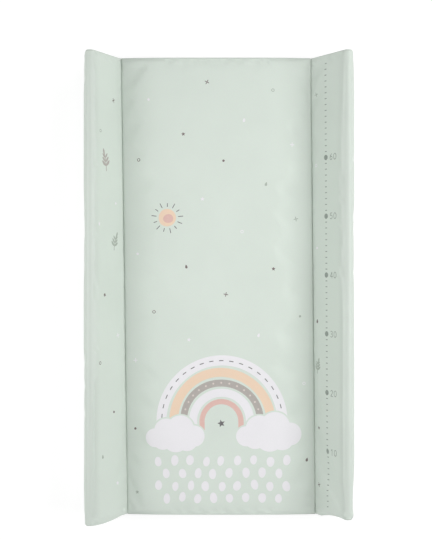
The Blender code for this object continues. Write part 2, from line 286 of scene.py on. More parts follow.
def polar(centre: Point, reach: float, angle: float) -> Point:
    """Give the place at a distance and an angle from a centre."""
    return centre[0] + reach * math.cos(angle), centre[1] + reach * math.sin(angle)


def turned(centre: Point, turn: float, x: float | Array, y: float | Array) -> tuple:
    """Turn local places about the origin and bring them to a centre."""
    cos, sin = math.cos(turn), math.sin(turn)
    return centre[0] + x * cos - y * sin, centre[1] + x * sin + y * cos


def signed_area(outline: Sequence[Point] | Array) -> float:
    """Give a closed outline's area, above 0 where it runs counterclockwise."""
    x, y = np.asarray(outline, float).T
    return float((x * np.roll(y, -1) - y * np.roll(x, -1)).sum() / 2)


def turned_left(outline: Sequence[Point]) -> Points:
    """Give a closed outline in the counterclockwise sense, which the triangulation needs."""
    ring = outline if signed_area(outline) > 0 else list(outline)[::-1]
    return [(float(x), float(y)) for x, y in ring]


def spline_weights(knots: Array, places: Array) -> Array:
    """Weights that read a natural cubic spline through values at knots.

    Args:
        knots: Rising places of the known values.
        places: Where the spline is read.

    Returns:
        A matrix with one row for each place and one column for each knot.
    """
    count = len(knots)
    step = np.diff(knots)
    left, right = np.zeros((2, count, count))
    left[0, 0] = left[-1, -1] = 1.0
    for k in range(1, count - 1):
        left[k, k - 1 : k + 2] = step[k - 1] / 6, (step[k - 1] + step[k]) / 3, step[k] / 6
        right[k, k - 1 : k + 2] = 1 / step[k - 1], -1 / step[k - 1] - 1 / step[k], 1 / step[k]
    bend = np.linalg.solve(left, right)
    cell = np.clip(np.searchsorted(knots, places) - 1, 0, count - 2)
    wide = step[cell]
    ahead = np.clip((places - knots[cell]) / wide, 0, 1)
    back = 1 - ahead
    unit = np.eye(count)
    return (
        back[:, None] * unit[cell]
        + ahead[:, None] * unit[cell + 1]
        + ((back**3 - back) * wide**2 / 6)[:, None] * bend[cell]
        + ((ahead**3 - ahead) * wide**2 / 6)[:, None] * bend[cell + 1]
    )


def unit_rows(vectors: Array) -> Array:
    """Bring vectors to length 1."""
    return vectors / np.maximum(np.linalg.norm(vectors, axis=-1, keepdims=True), 1e-15)


def grid_faces(rows: int, columns: int) -> Array:
    """Give the quads of a grid whose points are numbered row by row."""
    index = np.arange(rows * columns).reshape(rows, columns)
    return np.stack([index[:-1, :-1], index[:-1, 1:], index[1:, 1:], index[1:, :-1]], axis=2).reshape(-1, 4)


def grid_normals(points: Array) -> Array:
    """Unit normals of a grid of points, shaped (rows, columns, 3), on its outer face."""
    return unit_rows(np.cross(np.gradient(points, axis=1), np.gradient(points, axis=0)))


def face_normals(points: Array, triangles: Array) -> Array:
    """Normals of triangles, as long as twice their areas."""
    a, b, c = (points[triangles[:, k]] for k in range(3))
    return np.cross(b - a, c - a)


def mesh_normals(points: Array, triangles: Array) -> Array:
    """Unit normals at the points of a triangle mesh, weighted by area.

    Args:
        points: Its points.
        triangles: Its triangles.

    Returns:
        The normals.
    """
    normals, faces = np.zeros_like(points), face_normals(points, triangles)
    for k in range(3):
        np.add.at(normals, triangles[:, k], faces)
    return unit_rows(normals)


# Finishes


def noise(tree: Tree, place: Node | Socket, scale: float, detail: float, **more: float) -> Node:
    """Add a noise pattern with so many waves to the metre."""
    return add_node(tree, "TexNoise", {"Vector": place, "Scale": scale, "Detail": detail, **more})


def ranged(tree: Tree, value: Node | Socket, to: Point, start: Point = (0.0, 1.0)) -> Node:
    """Map a value from one range to another and keep it inside."""
    ends = zip(("To Min", "To Max", "From Min", "From Max"), (*to, *start))
    return add_node(tree, "MapRange", {"Value": value, **dict(ends)})


class Coords(Enum):
    """Where a finish's pattern lies."""

    SHEET = "the film's own flat coordinates"
    OBJECT = "the object's coordinates"

    def place(self, tree: Tree) -> Socket:
        """Give the socket of a pattern's coordinates in a material, in metres.

        Args:
            tree: The material's node tree.

        Returns:
            The socket.
        """
        if self is Coords.SHEET:
            return add_node(tree, "UVMap", uv_map=SHEET_UV).outputs["UV"]
        return add_node(tree, "TexCoord").outputs["Object"]


@dataclass(frozen=True)
class Finish:
    """A surface of the real object, which makes its material once.

    Attributes:
        slot: The record's material slot.
    """

    name: str
    slot: str
    coords: ClassVar[Coords] = Coords.OBJECT

    def material(self) -> bpy.types.Material:
        """Give the finish's material, made on the first call.

        Returns:
            The material.
        """
        found = bpy.data.materials.get(self.name)
        if found is None:
            found = bpy.data.materials.new(self.name)
            found.use_nodes = True
            tree = found.node_tree
            plug(tree, tree.nodes["Principled BSDF"], self.look(tree, self.coords.place(tree)))
        return found

    def look(self, tree: Tree, place: Socket) -> Inputs:
        """Add the finish's own nodes at its pattern's coordinates, and give the inputs of its shader."""
        raise NotImplementedError


@dataclass(frozen=True)
class VinylFilm(Finish):
    """Calendered soft PVC film, with its patterns in waves to the metre.

    Attributes:
        grain_pitch: Size of the embossed grain's cells. The real ones are about 0.6 mm across, and are
            drawn coarser so that a close view shows them.
        drift: Patches of tone, about a hand's width each.
        satin: Patches of roughness.
        peel: The calender's orange peel.
        fleck: Pigment flecks.
        tones: Its tone's drift.
        drier: Its roughness's drift.
        pressed_tone: Tone of a pressed weld line.
        drawn_tone: Tone that painted shade darkens the film to on the crests and towards the welds.
        polish: Change of roughness on the crests that hands and cloths rub.
    """

    colour: str = "#DCE6DD"
    roughness: float = 0.46
    grain_pitch: float = 1.5 * MM
    grain_depth: float = 0.045 * MM
    coords: Coords = Coords.SHEET
    drift: float = 11.0
    satin: float = 45.0
    peel: float = 90.0
    fleck: float = 420.0
    fleck_share: float = 0.05
    peel_share: float = 1.6
    tones: Point = (0.975, 1.01)
    drier: Point = (-0.04, 0.05)
    pressed_tone: float = 0.985
    drawn_tone: float = 0.89
    polish: float = -0.07
    ior: float = 1.53

    def look(self, tree: Tree, place: Socket) -> Inputs:
        """Add the film's tone with its painted shade, satin and grain.

        Args:
            tree: The material's node tree.
            place: The pattern's coordinates.

        Returns:
            The inputs of its shader.
        """
        shade = ranged(tree, noise(tree, place, self.drift, 3.0), self.tones, (0.3, 0.7))
        # Pressed weld lines are a little darker in their own colour; painted shade darkens the film on the crests and
        # towards the valley welds
        wear_and_shade = {name: add_node(tree, "Attribute", attribute_name=name).outputs["Fac"] for name in WEAR_AND_PAINTED_SHADE}
        for name, deepest in (("pressed", self.pressed_tone), ("drawn", self.drawn_tone)):
            kept = ranged(tree, wear_and_shade[name], (1.0, deepest))
            shade = add_node(tree, "Math", {0: shade, 1: kept}, operation="MULTIPLY")
        base = self.base_colour(tree, place)
        tone = add_node(tree, "VectorMath", {0: base, "Scale": shade}, operation="SCALE")
        low, high = (self.roughness + change for change in self.drier)
        matt = ranged(tree, noise(tree, place, self.satin, 4.0), (low, high), (0.25, 0.75))
        rubbed = {0: wear_and_shade["rubbed"], 1: self.polish, 2: matt}
        rough = add_node(tree, "Math", rubbed, operation="MULTIPLY_ADD")
        cells = {"Vector": place, "Scale": 1 / self.grain_pitch, "Smoothness": 0.7}
        grain = add_node(tree, "TexVoronoi", cells, feature="SMOOTH_F1")
        waves = {0: noise(tree, place, self.peel, 2.0), 1: self.peel_share, 2: grain}
        relief = add_node(tree, "Math", waves, operation="MULTIPLY_ADD")
        bump = add_node(tree, "Bump", {"Height": relief, "Distance": self.grain_depth, "Strength": 1.0})
        return {"Base Color": tone, "Roughness": rough, "Normal": bump, "IOR": self.ior}

    def base_colour(self, tree: Tree, place: Socket) -> Node:
        """Give the film's own colour before drift and welds, at the pattern's coordinates."""
        flecks = {0: self.fleck_share, 6: srgb(self.colour), 7: noise(tree, place, self.fleck, 2.0).outputs["Color"]}
        return add_node(tree, "Mix", flecks, data_type="RGBA", blend_type="MULTIPLY")


@dataclass(frozen=True)
class ScreenInk(VinylFilm):
    """Screen-printed ink on the film.

    Attributes:
        cover: How well its thin places cover the film.
        mottle: Marks of the mesh to the metre.
    """

    roughness: float = 0.54
    ink: str = "#FFFFFF"
    cover: float = 0.92
    mottle: float = 260.0

    def base_colour(self, tree: Tree, place: Socket) -> Node:
        """Give the ink's colour, with the film just showing through its thin places."""
        cover = ranged(tree, noise(tree, place, self.mottle, 3.0), (self.cover, 1.0), (0.35, 0.65))
        return add_node(tree, "Mix", {0: cover, 6: srgb(self.colour), 7: srgb(self.ink)}, data_type="RGBA")


@dataclass(frozen=True)
class GrainedFinish(Finish):
    """A surface of two tones, whose grain gives its roughness and relief.

    Attributes:
        tones: Its two colours.
        dryness: Its least and greatest roughness.
        relief: Distance and strength of its bump.
    """

    tones: tuple[str, str]
    dryness: Point
    relief: Point

    def grained(self, tree: Tree, share: Node, level: Node, height: Node, invert: bool = False) -> Inputs:
        """Blend the tones and add roughness and relief.

        Args:
            tree: The material's node tree.
            share: Share of the second tone.
            level: What the roughness follows.
            height: What the relief follows.
            invert: Whether high values lie deep.

        Returns:
            The inputs of its shader.
        """
        blend = {0: share, 6: srgb(self.tones[0]), 7: srgb(self.tones[1])}
        tone = add_node(tree, "Mix", blend, data_type="RGBA")
        rise = {"Height": height, "Distance": self.relief[0], "Strength": self.relief[1]}
        bump = add_node(tree, "Bump", rise, invert=invert)
        return {"Base Color": tone, "Roughness": ranged(tree, level, self.dryness), "Normal": bump}


@dataclass(frozen=True)
class OpenCellFoam(GrainedFinish):
    """Cut polyurethane foam, with its cells' size and patches of yellowing to the metre."""

    cell: float = 1.3 * MM
    yellowing: float = 14.0

    def look(self, tree: Tree, place: Socket) -> Inputs:
        """Add the cut cells.

        Args:
            tree: The material's node tree.
            place: The pattern's coordinates.

        Returns:
            The inputs of its shader.
        """
        cells = add_node(tree, "TexVoronoi", {"Vector": place, "Scale": 1 / self.cell})
        aged = {0: noise(tree, place, self.yellowing, 4.0), 1: 0.35, 2: cells}
        depth = add_node(tree, "Math", aged, operation="MULTIPLY_ADD", use_clamp=True)
        return self.grained(tree, depth, cells, cells, invert=True)


@dataclass(frozen=True)
class Fibreboard(GrainedFinish):
    """Wet-pressed fibreboard, with its fibres to the metre and their thinness along the board."""

    fibres: float = 700.0
    stretch: float = 0.28

    def look(self, tree: Tree, place: Socket) -> Inputs:
        """Add the matted fibres."""
        along = add_node(tree, "Mapping", {"Vector": place, "Scale": (1.0, self.stretch, 1.0)})
        return self.grained(tree, *[noise(tree, along, self.fibres, 5.0, Distortion=1.2)] * 3)


@dataclass(frozen=True)
class MouldedRubber(GrainedFinish):
    """Moulded soft rubber, with patches of dust and pits of its spark-eroded mould to the metre."""

    dust: float = 130.0
    spark: float = 2600.0

    def look(self, tree: Tree, place: Socket) -> Inputs:
        """Add the mould's texture and a little dust."""
        share = ranged(tree, noise(tree, place, self.dust, 5.0), (0.0, 1.0), (0.4, 0.75))
        return {**self.grained(tree, share, share, noise(tree, place, self.spark, 2.0)), "IOR": 1.52}


@dataclass(frozen=True)
class PlatedMetal(GrainedFinish):
    """A thin bright plating on turned or pressed metal, with its clouds and tool marks to the metre."""

    cloud: float = 320.0
    marks: float = 5200.0

    def look(self, tree: Tree, place: Socket) -> Inputs:
        """Add the plating's clouding and tool marks."""
        cloud, marks = noise(tree, place, self.cloud, 4.0), noise(tree, place, self.marks, 1.0)
        return {**self.grained(tree, cloud, cloud, marks), "Metallic": 1.0}


class Ink(Enum):
    """The inks of the print by their layer numbers. FILM is the bare film."""

    FILM = 0
    WHITE = 1
    CHARCOAL = 2
    BROWN = 3
    PEACH = 4
    ROSE = 5
    TAUPE = 6
    SHELL = 7
    LEAF = 8
    SCALE = 9


# Calendered soft PVC: an even satin whose fine emboss breaks up highlights, smoother on the crests
FILM_FINISH = VinylFilm("calendered_pvc_film_sage", "printed_vinyl")
# The same film, unprinted: a touch drier, with a finer emboss
PLAIN_FILM = VinylFilm(
    "calendered_pvc_film_white", "plain_vinyl", colour="#E4E6E1", roughness=0.5, grain_pitch=1.1 * MM
)
# The film pressed by a hot tool: smooth and glossy, with its emboss ironed out
WELD_FINISH = VinylFilm(
    "pressed_pvc_weld", "printed_vinyl", colour="#D3DDD4", roughness=0.36, grain_depth=0.01 * MM, coords=Coords.OBJECT
)
# Screen ink: flat and drier than the film, with a faint mottle from the mesh
INK_COLOURS = {
    Ink.WHITE: "#F1EFF3",
    Ink.CHARCOAL: "#5F5C5E",
    Ink.BROWN: "#6E5F5E",
    Ink.PEACH: "#F1D5BB",
    Ink.ROSE: "#E2BAB1",
    Ink.TAUPE: "#B0A9A4",
    Ink.SHELL: "#D8CEC8",
    Ink.LEAF: "#A9B3A8",
    Ink.SCALE: "#8C968E",
}
INK_FINISHES = {
    ink: ScreenInk(f"screen_ink_{ink.name.lower()}", "printed_vinyl", ink=code) for ink, code in INK_COLOURS.items()
}
# Cut foam: cream, dry and full of small round cells
FOAM_LOOK = (("#F2E7C4", "#D6C596"), (0.88, 0.98), (0.3 * MM, 0.8))
FOAM_FINISH = OpenCellFoam("open_cell_polyurethane_foam", "foam", *FOAM_LOOK)
# Pressed wood fibre: brown and matt, with short matted fibres
BOARD_LOOK = (("#7C5F3F", "#A98A62"), (0.72, 0.90), (0.08 * MM, 0.7))
BOARD_FINISH = Fibreboard("wet_pressed_fibreboard", "fibreboard", *BOARD_LOOK)
# Moulded rubber: pale grey and dry, with a sand-like texture that holds dust
RUBBER_LOOK = (("#9EA3A0", "#B4B7B2"), (0.62, 0.82), (0.05 * MM, 0.8))
RUBBER_FINISH = MouldedRubber("moulded_soft_rubber", "stop_rubber", *RUBBER_LOOK)
# Zinc on turned steel: a cool, slightly clouded shine
ZINC_LOOK = (("#C9CDD2", "#B9BCC6"), (0.24, 0.40), (0.01 * MM, 0.5))
ZINC_FINISH = PlatedMetal("zinc_plated_steel", "zinc_steel", *ZINC_LOOK)
# Nickel on pressed brass: warmer and brighter
NICKEL_LOOK = (("#D6CFC0", "#C4BCAB"), (0.16, 0.32), (0.01 * MM, 0.5))
NICKEL_FINISH = PlatedMetal("nickel_plated_brass", "nickel_brass", *NICKEL_LOOK)


# The mat's form


@dataclass(frozen=True)
class MatForm:
    """The rule of the mat's outer face: its section across and how that runs along the mat.

    The section goes from the pad's middle over the pad, the weld land, the hollow toe, the straight
    flank, the round crest and the upright side to the tip of the weld flange.
    """

    length: float = 0.790
    width: float = 0.448
    rim_height: float = 0.090
    base_z: float = 0.015
    crest_radius: float = 0.0090
    toe_radius: float = 0.0015
    toe_angle: float = math.radians(15.0)
    valley_height: float = 0.020
    weld_land: float = 0.0010
    weld_dip: float = 0.0007
    pad_crown: float = 0.0125
    pad_fullness: float = 4.6
    end_crown_share: float = 0.45
    end_fullness: float = 4.0
    end_radius: float = 0.003
    end_turn: float = math.radians(65.0)
    end_recess: float = 0.0025
    film: float = 0.0006
    gap: float = 0.0003
    board: float = 0.006
    flange: float = 0.0035
    foot_fillet: float = 0.0010
    # The film stands a little proud beside its welds: how far on the pad and the flank, and over what distance
    puff: float = 0.0019
    flank_puff: float = 0.0004
    puff_rise: float = 0.0010
    puff_fade: float = 0.020
    # Valley lines wander a little on the real mat: place at mid length, and slope along it
    left_valley: Point = (0.1641, 0.0142)
    right_valley: Point = (0.1637, -0.0098)
    # How far the foot ends of the left and right bolsters lean in at their crests
    foot_lean: Point = (-0.0025, 0.0065)
    # How far the same ends stand proud (below 0) or draw in at half height
    foot_bow: Point = (-0.0030, 0.0040)
    # The level where that starts, how far down the mat it starts, and the bolsters' least distance from its middle
    lean_start: float = 0.045
    lean_from: float = 0.30
    lean_inside: float = 0.160
    # The foam's own foot ends are cut flat, inside the film's
    foam_lean: Point = (0.0, 0.0098)

    @property
    def valley_z(self) -> float:
        """Level of the weld lands."""
        return self.base_z + self.valley_height

    @property
    def rim_z(self) -> float:
        """Level of the crests."""
        return self.base_z + self.rim_height

    @property
    def lip_z(self) -> float:
        """Underside of the top film's flange."""
        return self.base_z + self.film + self.gap

    @property
    def flange_z(self) -> float:
        """Upper face of the top film's flange."""
        return self.lip_z + self.film

    @property
    def panel_y(self) -> float:
        """Where the end films' faces stand."""
        return self.length / 2 - self.end_recess

    @property
    def foam_z(self) -> float:
        """Underside of the foam, a gap over the board."""
        return self.lip_z + self.board + self.gap

    @property
    def flat_half(self) -> float:
        """Half the length between the rounded ends."""
        return self.length / 2 - self.end_radius

    def crown_at(self, y: float) -> float:
        """Give the height of the pad's crown over the valleys at a place."""
        along = min(abs(y) / self.flat_half, 1.0)
        return self.pad_crown * (1 - (1 - self.end_crown_share) * along**self.end_fullness)

    def valley_at(self, side: int, y: float) -> float:
        """Give the distance of the left (-1) or right (1) valley line from the middle at a place."""
        middle, slope = self.right_valley if side > 0 else self.left_valley
        return middle + slope * y

    def leaned(self, points: Array, foam: bool = False) -> Array:
        """Let the foot ends of the bolsters lean and bow.

        Args:
            points: Places, with x, y and z last.
            foam: Whether they are the foam's, which lean evenly from its floor.

        Returns:
            The leaned places.
        """
        low = self.foam_z if foam else self.lean_start
        leans, bows = (self.foam_lean, (0.0, 0.0)) if foam else (self.foot_lean, self.foot_bow)
        x, y, z = np.moveaxis(points, -1, 0)
        fade = np.clip((-y - self.lean_from) / (self.length / 2 - self.lean_from), 0, 1)
        rise = np.clip((z - low) / (self.rim_z - low), 0, 1)
        moved = points.copy()
        for here, lean, bow in zip((x < -self.lean_inside, x > self.lean_inside), leans, bows):
            moved[..., 1] += here * fade * fade * (3 - 2 * fade) * rise * (lean + 4 * bow * (1 - rise))
        return moved

    def flank_rule(self, start_x: float) -> tuple[Point, Point, float]:
        """Find the toe's and the crest's centres and the flank's lean.

        Args:
            start_x: Where the flank leaves the weld land.

        Returns:
            The toe's centre, the crest's centre and the lean of the straight flank.
        """
        toe = polar((start_x, self.valley_z), self.toe_radius, self.toe_angle + math.pi / 2)
        crest = (self.width / 2 - self.crest_radius, self.rim_z - self.crest_radius)
        reach = math.hypot(crest[0] - toe[0], crest[1] - toe[1])
        bearing = math.atan2(crest[1] - toe[1], crest[0] - toe[0])
        return toe, crest, bearing + math.asin((self.toe_radius + self.crest_radius) / reach)


# About how long the stretches of the half section are, and the finest step that its crest needs
PAD_HALF, PAD_FREE, FLANK_LONG, CREST_LONG, SIDE_LONG = 0.165, 0.153, 0.071, 0.0307, 0.075
CREST_STEP = 1.6 * MM
# How far from its weld the pad's close stations lie
WELD_CLOSE = np.array([0.0, 0.7, 1.5, 2.6, 4.0, 6.0, 8.5, 12.0]) * MM
# What tells a station on the flank from one on its weld, whose distance is 0
PAST_WELD = 1e-9
# Stretches that take their ends from their neighbours: the lowest and highest share that a finer division adds
OPEN_STRETCHES = {"land": (0.0, 1.0), "flank": (0.0, 1.0), "side": (0.0, 1.0), "flange": (0.0, None)}


@dataclass(frozen=True)
class Stations:
    """How finely each stretch of the half section is divided, as shares of the stretch."""

    pad: Array
    land: Array
    toe: Array
    flank: Array
    crest: Array
    side: Array
    foot: Array
    flange: Array

    @staticmethod
    def even(step: float) -> "Stations":
        """Divide every stretch about as finely as a step.

        Args:
            step: The wanted distance between free stations.

        Returns:
            The stations.
        """

        def parts(long: float, least: int = 3, fine: float = step) -> Array:
            """Share out a stretch, in no fewer parts than the least."""
            return np.linspace(0, 1, max(round(long / fine), least) + 1)

        close = WELD_CLOSE / PAD_HALF
        return Stations(
            pad=np.concatenate([(parts(PAD_FREE) * (1 - close[-1]))[:-1], 1 - close[::-1]]),
            land=np.array([0.5]),
            toe=np.linspace(0, 1, 4),
            flank=parts(FLANK_LONG)[1:-1],
            crest=parts(CREST_LONG, 8, min(step, CREST_STEP)),
            side=parts(SIDE_LONG)[1:-1],
            foot=np.linspace(0, 1, 5),
            flange=np.array([0.5, 1.0]),
        )

    def refined(self, parts: int) -> "Stations":
        """Divide each interval further.

        Args:
            parts: Into how many parts.

        Returns:
            The finer stations.
        """

        def finer(name: str) -> Array:
            """Divide the intervals of one stretch.

            Args:
                name: The stretch's name.

            Returns:
                Its finer shares.
            """
            low, high = OPEN_STRETCHES.get(name, (None, None))
            knots = np.array([end for end in (low, *getattr(self, name), high) if end is not None])
            wanted = np.arange((len(knots) - 1) * parts + 1) / parts
            places = np.interp(wanted, np.arange(len(knots)), knots)
            return places[low is not None : len(places) - (high is not None)]

        return Stations(**{stretch.name: finer(stretch.name) for stretch in fields(self)})


def arc(centre: Point, radius: float, turn: float | Array) -> Array:
    """Give places on an arc, turned from its foot, or from its top where the radius is below 0."""
    return np.array((centre[0] + radius * np.sin(turn), centre[1] - radius * np.cos(turn)))


@dataclass
class FormedFace:
    """A layer of the mat's outer face as a grid of points.

    Attributes:
        step: Distance between rows along the mat.
        depth: How far the layer lies inside the outer face.
        turn_steps: Rows on each rounded end.
        square_half: Half the length of a layer with square ends.
        foam: Whether its foot ends are cut flat.
        with_puff: Whether it stands proud beside its welds.
        across: Sheet place of each column, from the middle.
        along: Sheet place of each row, from the middle.
        weld_distance: Distance of each column from its weld, below 0 on the flank.
    """

    form: MatForm
    stations: Stations
    step: float = 0.006
    depth: float = 0.0
    turn_steps: int = 5
    square_half: float | None = None
    foam: bool = False
    with_puff: bool = True
    places: Array = field(init=False)
    across: Array = field(init=False)
    along: Array = field(init=False)
    weld_distance: Array = field(init=False)

    def __post_init__(self) -> None:
        """Work out the grid."""
        rows = self.rows()
        places = [[(x, y, z) for x, z in self.section(taken, inset)] for y, taken, inset, _ in rows]
        self.places = self.form.leaned(np.array(places), self.foam)
        self.along = rows[:, 3]
        middle = self.section(0.0, self.depth)
        self.across = np.concatenate([[0.0], np.cumsum(np.hypot(*np.diff(middle, axis=0).T))])
        self.across -= np.interp(0.0, middle[:, 0], self.across)
        welds = self.half_marks(1, 0.0)[:, 2]
        self.weld_distance = np.concatenate([welds[:0:-1], welds])

    @property
    def flat(self) -> Array:
        """Sheet place, across and along, of each point."""
        return np.stack(np.meshgrid(self.across, self.along), axis=2)

    def rows(self) -> Array:
        """List the rows along the mat.

        Returns:
            For each row its y, the y whose section it takes, its inset and its place on the sheet.
        """
        form = self.form
        straight = form.flat_half if self.square_half is None else self.square_half
        count = max(round(straight / self.step), 4)
        half = [(y, y, self.depth, y) for y in straight * np.arange(count + 1) / count]
        radius = form.end_radius - self.depth
        steps = 0 if self.square_half else self.turn_steps
        for turn in form.end_turn * np.arange(1, steps + 1) / self.turn_steps:
            out, inset = radius * math.sin(turn), form.end_radius - radius * math.cos(turn)
            half.append((form.flat_half + out, form.flat_half, inset, form.flat_half + form.end_radius * turn))
        return np.concatenate([np.array(half)[:0:-1] * (-1, -1, 1, -1), half])

    def half_marks(self, side: int, y: float) -> Array:
        """Give half of the outer section at a place along the mat.

        Args:
            side: -1 for left, 1 for right.
            y: The place.

        Returns:
            Distance from the middle plane, height and distance from the weld of each station. The last
            is negative on the flank.
        """
        form, shares = self.form, self.stations
        valley, crown = form.valley_at(side, y), form.crown_at(y)
        edge, start = valley - form.weld_land / 2, valley + form.weld_land / 2
        toe, crest, lean = form.flank_rule(start)
        toe_turn = form.toe_angle + (lean - form.toe_angle) * shares.toe
        crest_turn = lean - (lean + math.pi / 2) * shares.crest
        foot_turn = math.pi / 2 * shares.foot
        low, top = arc(toe, form.toe_radius, lean), arc(crest, -form.crest_radius, lean)
        low_weld = -form.toe_radius * (lean - form.toe_angle) - PAST_WELD
        wall, foot_z, fillet = form.width / 2, form.flange_z, form.foot_fillet
        foot_top = foot_z + fillet
        stretches = (
            (edge * shares.pad, form.valley_z + crown * (1 - shares.pad**form.pad_fullness), edge * (1 - shares.pad)),
            (edge + form.weld_land * shares.land, form.valley_z - form.weld_dip * np.sin(np.pi * shares.land), 0.0),
            (*arc(toe, form.toe_radius, toe_turn), -form.toe_radius * (toe_turn - form.toe_angle) - PAST_WELD),
            (*(low + np.outer(shares.flank, top - low)).T, low_weld - math.dist(low, top) * shares.flank),
            (*arc(crest, -form.crest_radius, crest_turn), -1.0),
            (wall, crest[1] + (foot_top - crest[1]) * shares.side, -1.0),
            (wall + fillet * (1 - np.cos(foot_turn)), foot_top - fillet * np.sin(foot_turn), -1.0),
            (wall + fillet + (form.flange - fillet) * shares.flange, foot_z, -1.0),
        )
        return np.concatenate([np.stack(np.broadcast_arrays(*stretch), axis=1) for stretch in stretches])

    def section(self, y: float, inset: float) -> Array:
        """Give the whole section at a place along the mat, inset from the outer face.

        Args:
            y: The place.
            inset: Depth under the outer face.

        Returns:
            x and z of each station from the left flange tip to the right one.
        """
        form = self.form
        marks = np.concatenate([self.half_marks(-1, y)[:0:-1] * (-1, 1, 1), self.half_marks(1, y)])
        path, weld = marks[:, :2], marks[:, 2]
        steps = unit_rows(np.diff(path, axis=0))
        outward = np.stack([-steps[:, 1], steps[:, 0]], axis=1)
        before = np.concatenate([outward[:1], outward])
        after = np.concatenate([outward, outward[-1:]])
        mitre = (before + after) / (1 + (before * after).sum(axis=1))[:, None]
        push = np.full(len(path), -inset)
        if self.with_puff:
            away = np.abs(weld)
            rise = (1 - np.exp(-away / form.puff_rise)) * np.exp(-away / form.puff_fade)
            proud = np.where(weld < 0, form.flank_puff, form.puff)
            push = push + proud * rise * np.clip(1 - inset / form.end_radius, 0, 1)
        moved = path + mitre * push[:, None]
        flat = form.flange_z - min(self.depth, form.film)
        moved[:, 1] = np.maximum(moved[:, 1], flat)
        tip = len(self.stations.flange)
        moved[:tip, 1] = moved[-tip:, 1] = flat
        return moved


# A film's lift from its formed face at sheet places along and across
Lift = Callable[[Array, Array], Array]
# Soft film over foam: taut in its plane, limp across it, and pressed out a little between its welds
FILM_CLOTH = {
    "quality": 6,
    "mass": 0.35,
    "tension_stiffness": 60.0,
    "compression_stiffness": 60.0,
    "shear_stiffness": 30.0,
    "bending_stiffness": 6.0,
    "shrink_min": -0.004,
    "use_pressure": True,
    "uniform_pressure_force": 3.0,
    "vertex_group_mass": "welds",
}


@dataclass
class FilmFitter:
    """Lets the top film settle over the foam by a cloth simulation on a coarse grid.

    Attributes:
        cap: How far the film may leave its formed place.
        sink: How far it may go inside it.
        foot: Height over the base below which the flange holds it.
    """

    form: MatForm
    step: float = 0.0085
    cap: float = 0.0022
    sink: float = 0.0002
    foot: float = 0.004
    frames: int = 16

    def settle(self) -> Lift:
        """Run the simulation.

        Returns:
            A function that gives the film's lift at sheet places (along, across).
        """
        face = FormedFace(self.form, Stations.even(self.step), step=self.step)
        held = self.held(face)
        moved = self.simulate(face, held) - face.places
        lift = np.clip((moved * grid_normals(face.places)).sum(axis=2), -self.sink, self.cap)
        lift[held] = 0.0
        LOG.info("film settled: lift %.2f to %.2f mm", lift.min() / MM, lift.max() / MM)

        def lift_at(along: Array, across: Array) -> Array:
            """Read the settled lift between the coarse points."""
            down, over = spline_weights(face.along, along), spline_weights(face.across, across)
            return np.clip(down @ lift @ over.T, -self.sink, self.cap)

        return lift_at

    def held(self, face: FormedFace) -> Array:
        """Mark the points of the coarse face that welds hold.

        Args:
            face: The coarse face.

        Returns:
            True for each held point.
        """
        mask = face.places[..., 2] < self.form.base_z + self.foot
        mask[:, face.weld_distance == 0.0] = True
        mask[np.abs(face.along) > self.form.flat_half + 1e-6, :] = True
        return mask

    def simulate(self, face: FormedFace, held: Array) -> Array:
        """Step the cloth.

        Args:
            face: The coarse face.
            held: The points that can't move.

        Returns:
            The settled points, in the face's rows and columns.
        """
        item = mesh_object("film_grid", face.places.reshape(-1, 3), grid_faces(*held.shape))
        item.vertex_groups.new(name="welds").add(np.flatnonzero(held).tolist(), 1.0, "REPLACE")
        cloth = item.modifiers.new("film", "CLOTH")
        for name, value in FILM_CLOTH.items():
            setattr(cloth.settings, name, value)
        cloth.settings.effector_weights.gravity = 0.0
        cloth.point_cache.frame_start, cloth.point_cache.frame_end = 1, self.frames
        for number in range(1, self.frames + 1):
            bpy.context.scene.frame_set(number)
        shown = item.evaluated_get(bpy.context.evaluated_depsgraph_get())
        points = read(shown.data.vertices, "co", 3).astype(float)
        drop(item)
        bpy.context.scene.frame_set(1)
        return points.reshape(face.places.shape)


# The print


@dataclass(frozen=True)
class InkShape:
    """One printed shape on the flat sheet.

    Attributes:
        outline: Its closed outline as (across, along).
    """

    outline: Points
    ink: Ink


class MarkKind(Enum):
    """The small marks that are scattered over the print."""

    PLUS = "plus"
    DOT = "dot"
    RING = "ring"
    STAR = "star"
    DROP = "drop"


# Outer radius, inner radius and ink of the rainbow's bands
RAINBOW_BANDS = (
    (0.1130, 0.0955, Ink.WHITE),
    (0.0915, 0.0760, Ink.PEACH),
    (0.0720, 0.0600, Ink.TAUPE),
    (0.0560, 0.0420, Ink.WHITE),
    (0.0380, 0.0290, Ink.ROSE),
)
# Across, up and radius of a cloud's rounds, as shares of its half width
CLOUD_ROUNDS = (
    (-0.68, 0.24, 0.30),
    (-0.30, 0.46, 0.40),
    (0.16, 0.52, 0.44),
    (0.60, 0.30, 0.34),
    (0.00, 0.20, 0.42),
    (-0.42, 0.20, 0.34),
    (0.36, 0.18, 0.36),
)
# Place against the middle of the rainbow, and half width, of the two clouds
CLOUDS = (((-0.080, -0.042), 0.054), ((0.082, -0.040), 0.058))
# Foot, height, lean and ink of the leaf sprigs, outwards from the foot of the flank (left below 0) and along
SPRIGS = (
    ((-0.050, 0.196), 0.036, -0.22, Ink.TAUPE),
    ((-0.030, 0.062), 0.030, 0.30, Ink.LEAF),
    ((0.012, -0.150), 0.026, 0.18, Ink.LEAF),
)
